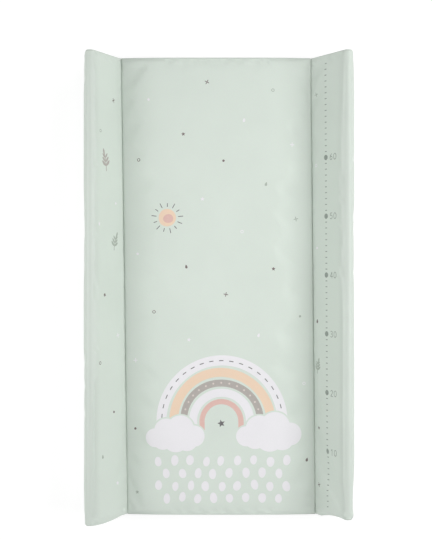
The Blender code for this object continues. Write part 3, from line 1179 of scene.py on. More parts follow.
# Kinds and inks of the small marks, and their places in millimetres on the pad and, as the sprigs', on the flanks
MARK_KINDS = (MarkKind.PLUS, MarkKind.DOT, MarkKind.STAR, MarkKind.RING, MarkKind.DROP)
MARK_INKS = (Ink.BROWN, Ink.WHITE, Ink.LEAF, Ink.BROWN, Ink.WHITE)
PAD_MARKS = (
    (-20, 352), (95, 338), (-118, 322), (44, 286), (-60, 262),
    (128, 244), (-136, 218), (8, 216), (82, 176), (-28, 150),
    (134, 116), (40, 94), (-140, 56), (-56, 34), (94, 30),
    (12, -14), (-112, -44), (140, -52), (68, -84), (-52, -92),
    (-146, -128), (146, -168), (-148, -246), (150, -300), (-146, -356),
)  # fmt: skip
FLANK_MARKS = (
    (-28, 318), (-66, 262), (-24, 142), (-70, 106), (-56, -14),
    (-22, -84), (-68, -128), (-34, -214), (-62, -286), (-26, -336),
    (14, 330), (13, 208), (14, 66), (13, -60), (14, -244), (13, -342),
)  # fmt: skip


@dataclass
class PrintDesign:
    """A plain nursery print: a round-arched rainbow on clouds, a sun, leaf sprigs and small marks.

    Attributes:
        flank_start: Sheet distance from the middle to the foot of the flank.
        arches: The rainbow's centre.
        legs: Length of its legs, and the step along them.
        arch_step: Distance between the points of an arch.
        arch_wobble: How uneven it is, as a share of its radius.
        edge_step: Distance between the points of a blob's edge.
        dashes: Number, radius, half angle and width of the outer band's dashes.
        dots: Number, radius and own radius of the third band's dots.
        middle_star: Distance under the arches' centre, and half size.
        cloud_rim: Width of the bare film round a cloud.
        drops: Rows, distance under the clouds' base, and pitch along and across.
        rays: Number, start and width of the sun's rays.
    """

    flank_start: float
    seed: int = 11
    arches: Point = (0.004, -0.232)
    legs: Point = (0.030, 0.004)
    arch_step: float = 0.0035
    arch_wobble: float = 0.006
    edge_step: float = 0.0016
    dashes: tuple[int, float, float, float] = (19, 0.1042, 0.030, 0.0015)
    dots: tuple[int, float, float] = (15, 0.066, 0.0017)
    middle_star: Point = (0.004, 0.0062)
    cloud_rim: float = 0.0026
    drops: tuple[int, float, float, float] = (4, 0.0265, 0.0215, 0.0275)
    sun: Point = (-0.088, 0.118)
    sun_radius: float = 0.0150
    rays: tuple[int, float, float] = (13, 1.28, 0.0013)
    mark_size: float = 0.0034
    shapes: list[InkShape] = field(default_factory=list)

    def __post_init__(self) -> None:
        """Lay out the whole print."""
        self.random = np.random.default_rng(self.seed)
        self.draw_rainbow()
        self.draw_sun()
        for foot, height, lean, ink in SPRIGS:
            self.sprig(self.on_flank(foot), height, lean, ink)
        pad, flanks = ([(x * MM, y * MM) for x, y in table] for table in (PAD_MARKS, FLANK_MARKS))
        for k, place in enumerate((*pad, *map(self.on_flank, flanks))):
            self.mark(place, MARK_KINDS[(k * 3) % 5], MARK_INKS[(k * 2 + k // 5) % 5], self.mark_size)

    def on_flank(self, place: Point) -> Point:
        """Turn a place measured from the foot of a flank into one from the middle."""
        return math.copysign(self.flank_start + abs(place[0]), place[0]), place[1]

    def fill(self, outline: Iterable[Point], ink: Ink) -> None:
        """Add one filled shape."""
        self.shapes.append(InkShape(turned_left(list(outline)), ink))

    def blob(self, centre: Point, wide: float, high: float, ink: Ink, turn: float = 0.0, wobble: float = 0.05) -> None:
        """Add a rounded blob with a hand-drawn edge.

        Args:
            centre: Its centre.
            wide: Half its width.
            high: Half its height.
            ink: Its ink.
            turn: How far it is turned.
            wobble: How uneven its edge is, as a share of its size.
        """
        count = int(np.clip(2 * math.pi * max(wide, high) / self.edge_step, 12, 72))
        angles = np.arange(count) * 2 * math.pi / count
        phase = self.random.uniform(0, 2 * math.pi, 2)
        reach = 1 + wobble * (np.sin(2 * angles + phase[0]) * 0.6 + np.sin(3 * angles + phase[1]) * 0.4)
        self.fill(zip(*turned(centre, turn, wide * reach * np.cos(angles), high * reach * np.sin(angles))), ink)

    def stroke(self, path: Points, wide: float, ink: Ink) -> None:
        """Add a line with round ends.

        Args:
            path: The line's points.
            wide: Its width.
            ink: Its ink.
        """
        line, half = np.array(path, float), wide / 2
        steps = unit_rows(np.gradient(line, axis=0))
        sideways = np.stack([-steps[:, 1], steps[:, 0]], axis=1) * half
        caps = []
        for end, way in ((line[-1], steps[-1]), (line[0], -steps[0])):
            turns = math.atan2(way[1], way[0]) + math.pi / 2 - np.linspace(0, math.pi, 6)[1:-1]
            caps.append([polar(end, half, turn) for turn in turns])
        self.fill([*(line + sideways), *caps[0], *(line - sideways)[::-1], *caps[1]], ink)

    def arch(self, outer: float, inner: float, ink: Ink) -> None:
        """Add one band of the rainbow with straight legs and rounded feet.

        Args:
            outer: Its outer radius.
            inner: Its inner radius.
            ink: Its ink.
        """
        (x, y), middle = self.arches, (outer + inner) / 2
        count = max(int(math.pi * middle / self.arch_step), 14)
        down = [self.legs[1] * k for k in range(int(self.legs[0] / self.legs[1]), 0, -1)]
        path = [(x - middle, y - low) for low in down]
        for k in range(count + 1):
            angle = math.pi * (1 - k / count)
            reach = middle * (1 + self.arch_wobble * math.sin(3.1 * angle + outer * 90))
            path.append(polar(self.arches, reach, angle))
        self.stroke(path + [(x + middle, y - low) for low in reversed(down)], outer - inner, ink)

    def cloud(self, centre: Point, size: float) -> None:
        """Add a puffy white cloud of overlapping rounds, with a rim of bare film round it.

        Args:
            centre: Middle of its base line.
            size: Its half width.
        """
        for rim, ink in ((self.cloud_rim, Ink.FILM), (0.0, Ink.WHITE)):
            for across, up, radius in CLOUD_ROUNDS:
                reach = radius * size + rim
                self.blob((centre[0] + across * size, centre[1] + up * size), reach, reach, ink, wobble=0.0)

    def draw_rainbow(self) -> None:
        """Draw the rainbow with its dashes and dots, its clouds, its star and the drops under them."""
        for band in RAINBOW_BANDS:
            self.arch(*band)
        x, y = self.arches
        count, radius, half, wide = self.dashes
        for k in range(count):
            turns = math.pi * (k + 0.5) / count + np.linspace(-half, half, 4)
            self.stroke([polar(self.arches, radius, turn) for turn in turns], wide, Ink.CHARCOAL)
        count, radius, size = self.dots
        for k in range(count):
            place = polar(self.arches, radius, math.pi * (k + 0.5) / count)
            self.blob(place, size, size, Ink.SHELL, wobble=0.02)
        for (across, up), size in CLOUDS:
            self.cloud((x + across, y + up), size)
        self.mark((x, y - self.middle_star[0]), MarkKind.STAR, Ink.CHARCOAL, self.middle_star[1])
        self.draw_drops(y + CLOUDS[0][0][1])

    def draw_drops(self, base: float) -> None:
        """Draw the rows of soft drops under the clouds' base line.

        Args:
            base: The height of that line.
        """
        rows, down, pitch, spacing = self.drops
        uniform = self.random.uniform
        for row in range(rows):
            count = 8 if row % 2 else 9
            for k in range(count):
                x = self.arches[0] + (k - (count - 1) / 2) * spacing + uniform(-0.0016, 0.0016)
                place = (x, base - down - pitch * row + uniform(-0.002, 0.002))
                wide, high = uniform(0.0056, 0.0068), uniform(0.0078, 0.0092)
                self.blob(place, wide, high, Ink.WHITE, turn=uniform(-0.18, 0.18))

    def draw_sun(self) -> None:
        """Draw the small sun with its short rays, every other one longer."""
        (x, y), radius = self.sun, self.sun_radius
        self.blob(self.sun, radius, radius, Ink.PEACH, wobble=0.02)
        self.blob((x + radius * 0.12, y - radius * 0.1), radius * 0.56, radius * 0.52, Ink.ROSE)
        count, near, wide = self.rays
        for k in range(count):
            reaches = radius * np.linspace(near, 1.62 if k % 2 else 1.78, 4)
            angle = 2 * math.pi * k / count + 0.1
            self.stroke([polar(self.sun, reach, angle) for reach in reaches], wide, Ink.CHARCOAL)

    def sprig(self, foot: Point, height: float, lean: float, ink: Ink, pairs: int = 3) -> None:
        """Add a leaf sprig.

        Args:
            foot: Where its stem starts.
            height: Its height.
            lean: How far it bends sideways at its tip, as a share of its height.
            ink: Its ink.
            pairs: How many pairs of leaves it has.
        """
        (x, y), bend = foot, 1.8
        stem = [(x + lean * height * share**bend, y + height * share) for share in np.linspace(0, 0.86, 12)]
        self.stroke(stem, height * 0.05, ink)
        for k in range(pairs):
            share, size = 0.22 + 0.55 * k / pairs, height * (0.20 - 0.025 * k)
            joint = (x + lean * height * share**bend, y + height * share)
            for side in (-1, 1):
                angle = math.pi / 2 - side * math.radians(48 - 4 * k) - lean * 0.5
                self.leaf(polar(joint, size, angle), size, size * 0.36, angle, ink)
        tip = (x + lean * height * 0.9, y + height * 0.88)
        self.leaf(tip, height * 0.17, height * 0.065, math.pi / 2 - lean * 1.2, ink)

    def leaf(self, centre: Point, long: float, wide: float, turn: float, ink: Ink) -> None:
        """Add one pointed leaf.

        Args:
            centre: Its middle.
            long: Half its length.
            wide: Half its width.
            turn: The way it points.
            ink: Its ink.
        """
        upper = [(long * (2 * s - 1), wide * math.sin(math.pi * s) ** 0.85) for s in np.linspace(0, 1, 8)]
        lower = [(x, -y) for x, y in reversed(upper[1:-1])]
        self.fill((turned(centre, turn, x, y) for x, y in upper + lower), ink)

    def mark(self, centre: Point, kind: MarkKind, ink: Ink, size: float) -> None:
        """Add one small mark.

        Args:
            centre: Its centre.
            kind: Its kind.
            ink: Its ink.
            size: Half its size.
        """
        turn = self.random.uniform(-0.5, 0.5)
        if kind is MarkKind.PLUS:
            for x, y in ((size, 0), (0, size)):
                ends = [turned(centre, turn, way * x, way * y) for way in (-1, 0, 1)]
                self.stroke(ends, size * 0.4, ink)
        elif kind is MarkKind.DOT:
            self.blob(centre, size * 0.62, size * 0.62, ink, wobble=0.04)
        elif kind is MarkKind.RING:
            for share, filling in ((0.85, ink), (0.52, Ink.FILM)):
                self.blob(centre, size * share, size * share, filling, wobble=0.02)
        elif kind is MarkKind.STAR:
            spokes = [(math.pi * k / 5, size * (0.5 if k % 2 else 1.1)) for k in range(10)]
            self.fill((turned(centre, turn, reach * math.sin(a), reach * math.cos(a)) for a, reach in spokes), ink)
        else:
            turns = [math.pi * k / 8 for k in range(16)]
            edge = [(size * 0.55 * math.sin(a) * (1 - 0.55 * math.cos(a)), size * math.cos(a)) for a in turns]
            self.fill((turned(centre, turn, x, y) for x, y in edge), ink)


# Pen strokes of the digits, in hundredths of their height
PEN_DIGITS = {
    "0": (((3, 46), (7, 80), (30, 98), (53, 80), (57, 46)), ((3, 54), (7, 20), (30, 2), (53, 20), (57, 54))),
    "1": (((10, 80), (33, 98)), ((34, 98), (34, 0))),
    "2": (((5, 76), (13, 93), (32, 98), (51, 86), (50, 63), (28, 33), (5, 3)), ((5, 2), (57, 2))),
    "3": (((7, 88), (27, 98), (48, 89), (49, 66), (24, 54)), ((24, 53), (51, 42), (54, 17), (29, 2), (5, 12))),
    "4": (((42, 98), (4, 30)), ((4, 28), (60, 28)), ((43, 98), (43, 0))),
    "5": (
        ((50, 98), (14, 98)), ((13, 98), (10, 56)), ((10, 56), (33, 62), (53, 49), (53, 19), (29, 2), (5, 12)),
    ),
    "6": (
        ((47, 95), (25, 82), (9, 55), (7, 25), (22, 4), (42, 5)),
        ((8, 40), (22, 58), (44, 56), (55, 33), (46, 9), (30, 2)),
    ),
}  # fmt: skip


def smooth_line(knots: Array, parts: int = 4) -> Points:
    """Run a smooth line through knots.

    Args:
        knots: The knots.
        parts: Points for each stretch between two knots.

    Returns:
        The line's points.
    """
    if len(knots) == 2:
        return [tuple(knots[0]), tuple(knots.mean(axis=0)), tuple(knots[1])]
    places = np.concatenate([[0.0], np.cumsum(np.linalg.norm(np.diff(knots, axis=0), axis=1))])
    wanted = np.interp(np.arange((len(knots) - 1) * parts + 1) / parts, np.arange(len(knots)), places)
    return [tuple(point) for point in spline_weights(places, wanted) @ knots]


@dataclass(frozen=True)
class LengthScale:
    """The plain centimetre scale along the right flank: ticks, round tens and their numbers.

    Attributes:
        zero_y: Place of its zero along the mat.
        from_flank: Sheet distance of its line from the foot of the flank.
        tick: Length and width of a tick.
        number_gap: Distance from the line to a number's left edge.
    """

    zero_y: float = -0.3805
    from_flank: float = 0.0382
    centimetres: int = 76
    last_ten: int = 60
    tick: Point = (0.0050, 0.0015)
    dot_radius: float = 0.0046
    number_height: float = 0.0103
    number_gap: float = 0.0100
    digit_pitch: float = 0.0093
    pen: float = 0.0011

    def draw(self, design: PrintDesign) -> None:
        """Draw the scale on a print.

        Args:
            design: The print that gets it.
        """
        place, half = design.flank_start + self.from_flank, self.tick[0] / 2 - self.tick[1] / 2
        for mark in range(self.centimetres + 1):
            y = self.zero_y + mark * 10 * MM
            if mark % 10 == 0 and 0 < mark <= self.last_ten:
                design.blob((place, y), self.dot_radius, self.dot_radius, Ink.SCALE, wobble=0.0)
                self.number(design, str(mark), place + self.number_gap, y)
            else:
                design.stroke([(place - half, y), (place, y), (place + half, y)], self.tick[1], Ink.SCALE)

    def number(self, design: PrintDesign, text: str, left: float, middle: float) -> None:
        """Draw a number with a round pen.

        Args:
            design: The print that gets it.
            text: Its digits.
            left: Its left edge.
            middle: The height of its middle line.
        """
        for place, digit in enumerate(text):
            corner = (left + place * self.digit_pitch, middle - self.number_height / 2)
            for line in PEN_DIGITS[digit]:
                design.stroke(smooth_line(np.array(line) / 100 * self.number_height + corner), self.pen, Ink.SCALE)


# Sub-assemblies

# Room round a baking chart, in shares of it
CHART_MARGIN = 0.005
# Distance between rows where only a face's section is wanted
SECTION_ROWS = 0.05


def shell_mesh(
    name: str,
    points: Array,
    normals: Array,
    faces: Array,
    thickness: float,
    sheet: Array,
    slots: Sequence[bpy.types.Material],
    layer: Array | None = None,
) -> Item:
    """Give an open film its thickness, as one closed mesh with smooth faces.

    Args:
        name: The object's name.
        points: Places on the outer face.
        normals: Smooth normals there.
        faces: Triangles of the outer face.
        thickness: The film's thickness.
        sheet: Flat coordinates of the points, in metres.
        slots: Materials.
        layer: Material index of each triangle.

    Returns:
        The film.
    """
    count = len(points)
    solid = np.concatenate([points, points - normals * thickness])
    edges = np.concatenate([faces[:, [0, 1]], faces[:, [1, 2]], faces[:, [2, 0]]])
    keys = np.sort(edges, axis=1).astype(np.int64) @ (count, 1)
    _, first, uses = np.unique(keys, return_index=True, return_counts=True)
    start, stop = edges[first[uses == 1]].T
    wall = np.stack([stop, start, start + count, stop, start + count, stop + count], axis=1)
    wall = np.concatenate([wall[:, :3], wall[:, 3:]])
    corners = np.concatenate([faces, faces[:, ::-1] + count, wall])
    item = mesh_object(name, solid, corners)
    mesh = item.data
    for material in slots:
        mesh.materials.append(material)
    if layer is not None:
        mesh.polygons.foreach_set("material_index", np.pad(layer, (0, len(corners) - len(layer))).astype(np.int32))
    flat = np.concatenate([sheet, sheet])[corners.ravel()]
    store_uv(mesh, SHEET_UV, flat + 0.5)
    # The baking chart: the outer face at one scale, and the rest squeezed into the room beside it
    low, high, margin = sheet.min(axis=0), sheet.max(axis=0), CHART_MARGIN
    spread = (flat - low) * (1 - 2 * margin) / (high[1] - low[1]) + margin
    body = len(faces) * 3
    room = spread[:body, 0].max() + margin
    spread[body:, 0] = room + (spread[body:, 0] - margin) * (1 - margin - room) / max(room, 1e-6)
    store_uv(mesh, BAKE_UV, spread)
    mesh.uv_layers.active = mesh.uv_layers[SHEET_UV]
    wall_normals = np.repeat(unit_rows(face_normals(solid, wall)), 3, axis=0)
    loops = np.concatenate([normals[faces.ravel()], -normals[faces[:, ::-1].ravel()], wall_normals])
    mesh.shade_smooth()
    mesh.normals_split_custom_set(loops.tolist())
    return item


def triangulated(
    points: Sequence[Point], outlines: Sequence[Sequence[int]]
) -> tuple[Array, Array, list[list[int]]]:
    """Divide the flat region under points into triangles, cut along outlines.

    Args:
        points: All points, those of the outlines too.
        outlines: The numbers of each outline's points, counterclockwise.

    Returns:
        The flat places, the triangles and the outlines round each triangle.
    """
    found, _, cells, _, _, sources = delaunay_2d_cdt([Vector(p) for p in points], [], outlines, 0, 1e-7, True)
    return np.array([(place.x, place.y) for place in found]), np.array(cells), sources


def numbered(outlines: Sequence[Sequence[Point]], start: int = 0) -> list[list[int]]:
    """Number the points of outlines that follow one another."""
    ends = np.cumsum([start, *map(len, outlines)])
    return [list(range(low, high)) for low, high in zip(ends, ends[1:])]


def smooth_solid(mesh: Mesh, sharp: float) -> Mesh:
    """Point a closed mesh's faces outwards and shade it smooth.

    Args:
        mesh: The mesh.
        sharp: Edges steeper than this many degrees stay sharp.

    Returns:
        The mesh.
    """
    work = bmesh.new()
    work.from_mesh(mesh)
    bmesh.ops.recalc_face_normals(work, faces=work.faces)
    work.to_mesh(mesh)
    work.free()
    mesh.shade_smooth()
    mesh.set_sharp_from_angle(angle=math.radians(sharp))
    return mesh


def tube_faces(rings: int, sides: int, closed: bool = False) -> Array:
    """Give the quads of a tube.

    Args:
        rings: How many rings it has, whose points are numbered ring by ring.
        sides: The points of a ring.
        closed: Whether the last ring joins the first.

    Returns:
        The quads.
    """
    index = np.arange(rings * sides).reshape(rings, sides)
    above = np.roll(index, -1, axis=0)
    quads = np.stack([index, np.roll(index, -1, axis=1), np.roll(above, -1, axis=1), above], axis=2)
    return (quads if closed else quads[:-1]).reshape(-1, 4)


# The foam that the outer films rest on
END_LABELS = {1: "head", -1: "foot"}
SIDE_LABELS = {1: "right", -1: "left"}


@dataclass(frozen=True)
class TopCover:
    """The printed top film, welded down at the valleys and stretched over pad and bolsters.

    Attributes:
        step: Distance between the flat sheet's rows, and between its free stations.
        print_gap: Least distance of the sheet's own points from a printed outline.
        least_bare: Least share of unprinted faces, which an outline that crosses itself would break.
        least_area: Area under which a triangle is dropped.
        pressed_reach: How far a weld presses the film.
        drawn_reach: Over what distance from a weld the painted shade fades.
        drawn_share: How strong that painted shade is on the flank and on the pad.
        crest_depth: How far down from the crests the film is rubbed and darkened by painted shade.
    """

    form: MatForm
    lift: Lift
    step: float = 0.006
    finer: int = 2
    print_gap: float = 0.0012
    least_bare: float = 0.2
    least_area: float = 1e-13
    pressed_reach: float = 0.0009
    drawn_reach: float = 0.028
    drawn_share: Point = (0.25, 0.90)
    crest_depth: float = 0.012

    def build(self) -> list[Item]:
        """Make the film and its print.

        Returns:
            The film.
        """
        target = self.target_face()
        sheet = FormedFace(self.form, Stations.even(self.step), step=self.step)
        design = PrintDesign(float(sheet.across[sheet.weld_distance == 0.0].max()))
        LengthScale().draw(design)
        flat = self.flat_sheet(sheet, design.shapes)
        wrapped = run_tree(flat, self.wrapping_tree(), {"Formed Face": target}, "wrapped_sheet")
        drop(target)
        film = declare(self.thicken(wrapped), "printed_vinyl", "top_cover")
        return [film]

    def target_face(self) -> Item:
        """Make the fine formed face that the flat sheet is wrapped on.

        Returns:
            The face, with its sheet coordinates as a UV map, and its normals and wear as attributes.
        """
        stations, rows = Stations.even(self.step).refined(self.finer), self.step / self.finer
        face = FormedFace(self.form, stations, step=rows, turn_steps=5 * self.finer)
        points = face.places + grid_normals(face.places) * self.lift(face.along, face.across)[..., None]
        faces = grid_faces(*points.shape[:2])
        item = mesh_object("formed_face", points.reshape(-1, 3), faces)
        store_uv(item.data, SHEET_UV, face.flat.reshape(-1, 2)[faces.ravel()] + 0.5)
        store(item.data, "smooth_normal", grid_normals(points), "FLOAT_VECTOR")
        reach = np.abs(face.weld_distance)
        crest = np.clip((points[..., 2] - self.form.rim_z) / self.crest_depth + 1, 0, 1)
        # Painted shade: darkest on the crests, and fading away from the valley welds, stronger on the pad than on the
        # flank
        beside = np.where(face.weld_distance < 0, *self.drawn_share) * np.exp(-reach / self.drawn_reach)
        pressed = np.tile(np.exp(-reach / self.pressed_reach), (len(points), 1))
        for name, values in zip(WEAR_AND_PAINTED_SHADE, (pressed, crest, np.maximum(crest, beside))):
            store(item.data, name, values)
        return item

    def flat_sheet(self, sheet: FormedFace, shapes: Sequence[InkShape]) -> Item:
        """Make the flat film, cut along the outlines of its print.

        Args:
            sheet: The face whose stations give the grid.
            shapes: The printed shapes, the lowest first.

        Returns:
            The flat film, with the ink of each face as an attribute.
        """
        outlines = [shape.outline for shape in shapes]
        printed = [point for outline in outlines for point in outline]
        grid, rim = sheet.flat, np.ones(sheet.places.shape[:2], bool)
        rim[1:-1, 1:-1] = False
        grid = grid.reshape(-1, 2)[self.clear_of(grid.reshape(-1, 2), printed) | rim.ravel()]
        flat, triangles, sources = triangulated([*grid.tolist(), *printed], numbered(outlines, len(grid)))
        layer = np.array([shapes[max(source)].ink.value if source else 0 for source in sources], np.int32)
        if (layer == Ink.FILM.value).mean() < self.least_bare:
            raise ValueError("a printed outline crosses itself")
        points = np.pad(flat, ((0, 0), (0, 1)))
        area = face_normals(points, triangles)[:, 2] / 2
        triangles[area < 0] = triangles[area < 0, ::-1]
        solid = np.abs(area) > self.least_area
        item = mesh_object("flat_sheet", points, triangles[solid])
        store(item.data, "ink", layer[solid], "INT", "FACE")
        store(item.data, "flat_place", points, "FLOAT_VECTOR")
        return item

    def clear_of(self, points: Array, others: Sequence[Point]) -> Array:
        """Mark the points that lie clear of others by the print's gap.

        Args:
            points: The points.
            others: The points to stay clear of.

        Returns:
            True for each point that is clear.
        """
        tree = KDTree(len(others))
        for number, (x, y) in enumerate(others):
            tree.insert((x, y, 0.0), number)
        tree.balance()
        return np.array([tree.find((x, y, 0.0))[2] >= self.print_gap for x, y in points])

    def wrapping_tree(self) -> Tree:
        """Build the tree that wraps the flat sheet on the formed face.

        Returns:
            The tree, which ends in Realize Instances and one Set Material for each ink.
        """
        tree, group = new_tree("wrap_sheet", [("Formed Face", "Object", None), ("Sheet Offset", "Float", 0.5)])
        face = add_node(tree, "ObjectInfo", {"Object": group["Formed Face"]}).outputs["Geometry"]
        place = add_node(tree, "InputPosition")
        # The sheet's own rim is read a hair inside the chart's
        inside = {0: place, 1: (0.99999, 0.99999, 0.0), 2: group["Sheet Offset"]}
        spot = add_node(tree, "ShaderNodeVectorMath", inside, operation="MULTIPLY_ADD")

        def named(name: str, kind: str) -> Node:
            """Read an attribute."""
            return add_node(tree, "InputNamedAttribute", {"Name": name}, data_type=kind)

        def sampled(source: Node, kind: str) -> Node:
            """Read the formed face at the sheet's place."""
            wanted = {"Mesh": face, "Value": source, "UV Map": chart, "Sample UV": spot}
            return add_node(tree, "SampleUVSurface", wanted, data_type=kind)

        chart, geometry = named(SHEET_UV, "FLOAT_VECTOR"), group["Geometry"]
        formed = sampled(place, "FLOAT_VECTOR")
        for name, kind in {"smooth_normal": "FLOAT_VECTOR", **dict.fromkeys(WEAR_AND_PAINTED_SHADE, "FLOAT")}.items():
            kept = {"Geometry": geometry, "Name": name, "Value": sampled(named(name, kind), kind)}
            geometry = add_node(tree, "StoreNamedAttribute", kept, data_type=kind, domain="POINT")
        geometry = add_node(tree, "SetPosition", {"Geometry": geometry, "Position": formed})
        geometry = add_node(tree, "RealizeInstances", {"Geometry": geometry})
        ink = named("ink", "INT")
        for number, finish in {Ink.FILM: FILM_FINISH, **INK_FINISHES}.items():
            same = {2: ink, 3: number.value}
            chosen = add_node(tree, "FunctionNodeCompare", same, data_type="INT", operation="EQUAL")
            dressed = {"Geometry": geometry, "Selection": chosen, "Material": finish.material()}
            geometry = add_node(tree, "SetMaterial", dressed)
        add_node(tree, "NodeGroupOutput", {0: geometry})
        return tree

    def thicken(self, wrapped: Item) -> Item:
        """Turn the wrapped sheet into a film with two faces.

        Args:
            wrapped: The wrapped sheet. It is removed.

        Returns:
            The film.
        """
        mesh, values = wrapped.data, wrapped.data.attributes
        film = shell_mesh(
            "top_cover_film",
            read(mesh.vertices, "co", 3).astype(float),
            unit_rows(read(values["smooth_normal"].data, "vector", 3).astype(float)),
            read(mesh.loops, "vertex_index", kind=np.int32).reshape(-1, 3),
            self.form.film,
            read(values["flat_place"].data, "vector", 3)[:, :2].astype(float),
            list(mesh.materials),
            read(mesh.polygons, "material_index", kind=np.int32),
        )
        for name in WEAR_AND_PAINTED_SHADE:
            store(film.data, name, np.tile(read(values[name].data, "value"), 2))
        drop(wrapped)
        return film


@dataclass(frozen=True)
class EndFilm:
    """The film that closes one end of the mat, with its flange on the underside film.

    Attributes:
        bulge_reach: Over what distance from its edge, and over its fillet, that rises.
        low_rows: Rows of inner points on the flange and its fillet.
        low_span: Where they start, and end over the fillet.
        high_start: Where the other rows start over the fillet.
        side_gap: How far from the sides the inner points start and end.
        edge_gap: Least distance of an inner point from its edge.
        merge: Distance under which two points of the outline are one.
    """

    form: MatForm
    end: int
    bulge: float = 0.0011
    bulge_reach: Point = (0.010, 0.012)
    fillet: float = 0.0012
    section_step: float = 0.006
    step: float = 0.007
    low_rows: int = 9
    low_span: Point = (0.0007, 0.004)
    high_start: float = 0.009
    side_gap: Point = (0.004, 0.003)
    edge_gap: float = 0.0018
    base_points: int = 60
    merge: float = 2e-5

    @property
    def bend(self) -> float:
        """Flat length of the flange and its fillet."""
        return self.fillet * (math.pi / 2 - 2) + self.form.length / 2 + self.form.flange - self.form.panel_y

    def build(self) -> list[Item]:
        """Make the end film.

        Returns:
            The film.
        """
        label, outline = END_LABELS[self.end], self.outline()
        ring = np.array(outline)
        side_x, top = ring.max(axis=0)
        xs = np.arange(-side_x + self.side_gap[0], side_x - self.side_gap[1], self.step)
        low = np.linspace(self.low_span[0], self.bend + self.low_span[1], self.low_rows)
        zs = np.concatenate([low, np.arange(self.bend + self.high_start, top, self.step)])
        over = ring[ring[:, 1] > self.bend][::-1]
        spots = np.array([(x, z) for x in xs for z in zs if z < np.interp(x, *over.T)])
        spots = spots[self.edge_distance(ring, spots) > self.edge_gap]
        flat, triangles, sources = triangulated([*outline, *spots.tolist()], numbered([outline]))
        triangles = triangles[[bool(source) for source in sources]]
        if self.end > 0:
            triangles = triangles[:, ::-1]
        points = self.form.leaned(self.raised(flat, ring))
        normals, dress = mesh_normals(points, triangles), [FILM_FINISH.material()]
        film = shell_mesh(f"end_film_{label}", points, normals, triangles, self.form.film, flat, dress)
        declare(film, "printed_vinyl", f"end_panel_{label}")
        return [film]

    def outline(self) -> Points:
        """Give the flat film's outline.

        Returns:
            The outline, over the mouth of the top film, down its sides and along the flange.
        """
        form, bend = self.form, self.bend
        mouth = math.sqrt((form.end_radius - form.film) ** 2 - (form.panel_y - form.flat_half) ** 2)
        face = FormedFace(form, Stations.even(self.section_step), step=SECTION_ROWS)
        trim = len(face.stations.flange) + len(face.stations.foot)
        path = face.section(self.end * form.flat_half, form.end_radius - mouth + form.gap)[trim:-trim]
        side_x = path[-1, 0]
        ring = [(x, z - form.flange_z + bend) for x, z in path]
        ring += [(side_x, bend * k / 4) for k in (3, 2, 1, 0)]
        ring += [(x, 0.0) for x in np.linspace(side_x, -side_x, self.base_points)[1:-1]]
        ring += [(-side_x, bend * k / 4) for k in (0, 1, 2, 3)]
        kept: Points = []
        for point in ring:
            if not kept or math.dist(point, kept[-1]) > self.merge:
                kept.append(point)
        return turned_left(kept)

    @staticmethod
    def edge_distance(ring: Array, points: Array) -> Array:
        """Give the distance of points from a closed outline.

        Args:
            ring: The outline.
            points: The points.

        Returns:
            The distances.
        """
        ahead = np.roll(ring, -1, axis=0) - ring
        away = points[:, None, :] - ring[None]
        share = np.clip((away * ahead[None]).sum(axis=2) / np.maximum((ahead**2).sum(axis=1), 1e-18), 0, 1)
        return np.linalg.norm(away - share[..., None] * ahead[None], axis=2).min(axis=1)

    def raised(self, flat: Array, ring: Array) -> Array:
        """Fold the flat film up the end and let it bulge a little.

        Args:
            flat: Flat places.
            ring: The flat outline.

        Returns:
            The places.
        """
        form, radius, up = self.form, self.fillet, flat[:, 1]
        flange = self.bend - radius * math.pi / 2
        turn = np.clip((up - flange) / radius, 0, math.pi / 2)
        y = np.where(up < flange, form.length / 2 + form.flange - up, form.panel_y + radius - radius * np.sin(turn))
        z = np.where(up < flange, form.flange_z, form.flange_z + radius - radius * np.cos(turn))
        z = np.where(up > self.bend, form.flange_z + radius + (up - self.bend), z)
        (reach, rise), away = self.bulge_reach, self.edge_distance(ring, flat)
        swell = self.bulge * (1 - np.exp(-away / reach)) * np.clip((up - self.bend) / rise, 0, 1)
        return np.stack([flat[:, 0], self.end * (y + swell), z], axis=1)


@dataclass(frozen=True)
class EndSeam:
    """The pressed weld bead that joins the top film's mouth to an end film.

    Attributes:
        sunk: How far its middle lies under the film's edge, and how far back from it.
    """

    form: MatForm
    end: int
    radius: float = 0.0009
    sides: int = 10
    sunk: Point = (0.0002, 0.0001)
    step: float = 0.004

    def build(self) -> list[Item]:
        """Make the bead.

        Returns:
            The bead.
        """
        form = self.form
        inset = form.end_radius * (1 - math.cos(form.end_turn)) + self.sunk[0]
        y = self.end * (form.flat_half + form.end_radius * math.sin(form.end_turn) - self.sunk[1])
        face = FormedFace(form, Stations.even(self.step), step=SECTION_ROWS)
        trim = len(face.stations.flange) + len(face.stations.foot) - 1
        path = face.section(self.end * form.flat_half, inset)[trim:-trim]
        places = form.leaned(np.array([(x, y, z) for x, z in path]))
        line = mesh_object("seam_path", places, edges=[(k, k + 1) for k in range(len(path) - 1)])
        values = {"Radius": self.radius, "Sides": self.sides, "Material": WELD_FINISH.material()}
        item = run_tree(line, self.bead_tree(), values, f"end_seam_{END_LABELS[self.end]}")
        item.data.shade_smooth()
        return [declare(item, "printed_vinyl")]

    @staticmethod
    def bead_tree() -> Tree:
        """Build the tree that runs a round bead along a path.

        Returns:
            The tree.
        """
        sockets = [("Radius", "Float", 0.001), ("Sides", "Int", 10), ("Material", "Material", None)]
        tree, group = new_tree("weld_bead", sockets)
        path = add_node(tree, "MeshToCurve", {"Mesh": group["Geometry"]})
        circle = {"Resolution": group["Sides"], "Radius": group["Radius"]}
        profile = add_node(tree, "CurvePrimitiveCircle", circle)
        swept = {"Curve": path, "Profile Curve": profile, "Fill Caps": True}
        end_tree(tree, add_node(tree, "CurveToMesh", swept), group["Material"])
        return tree


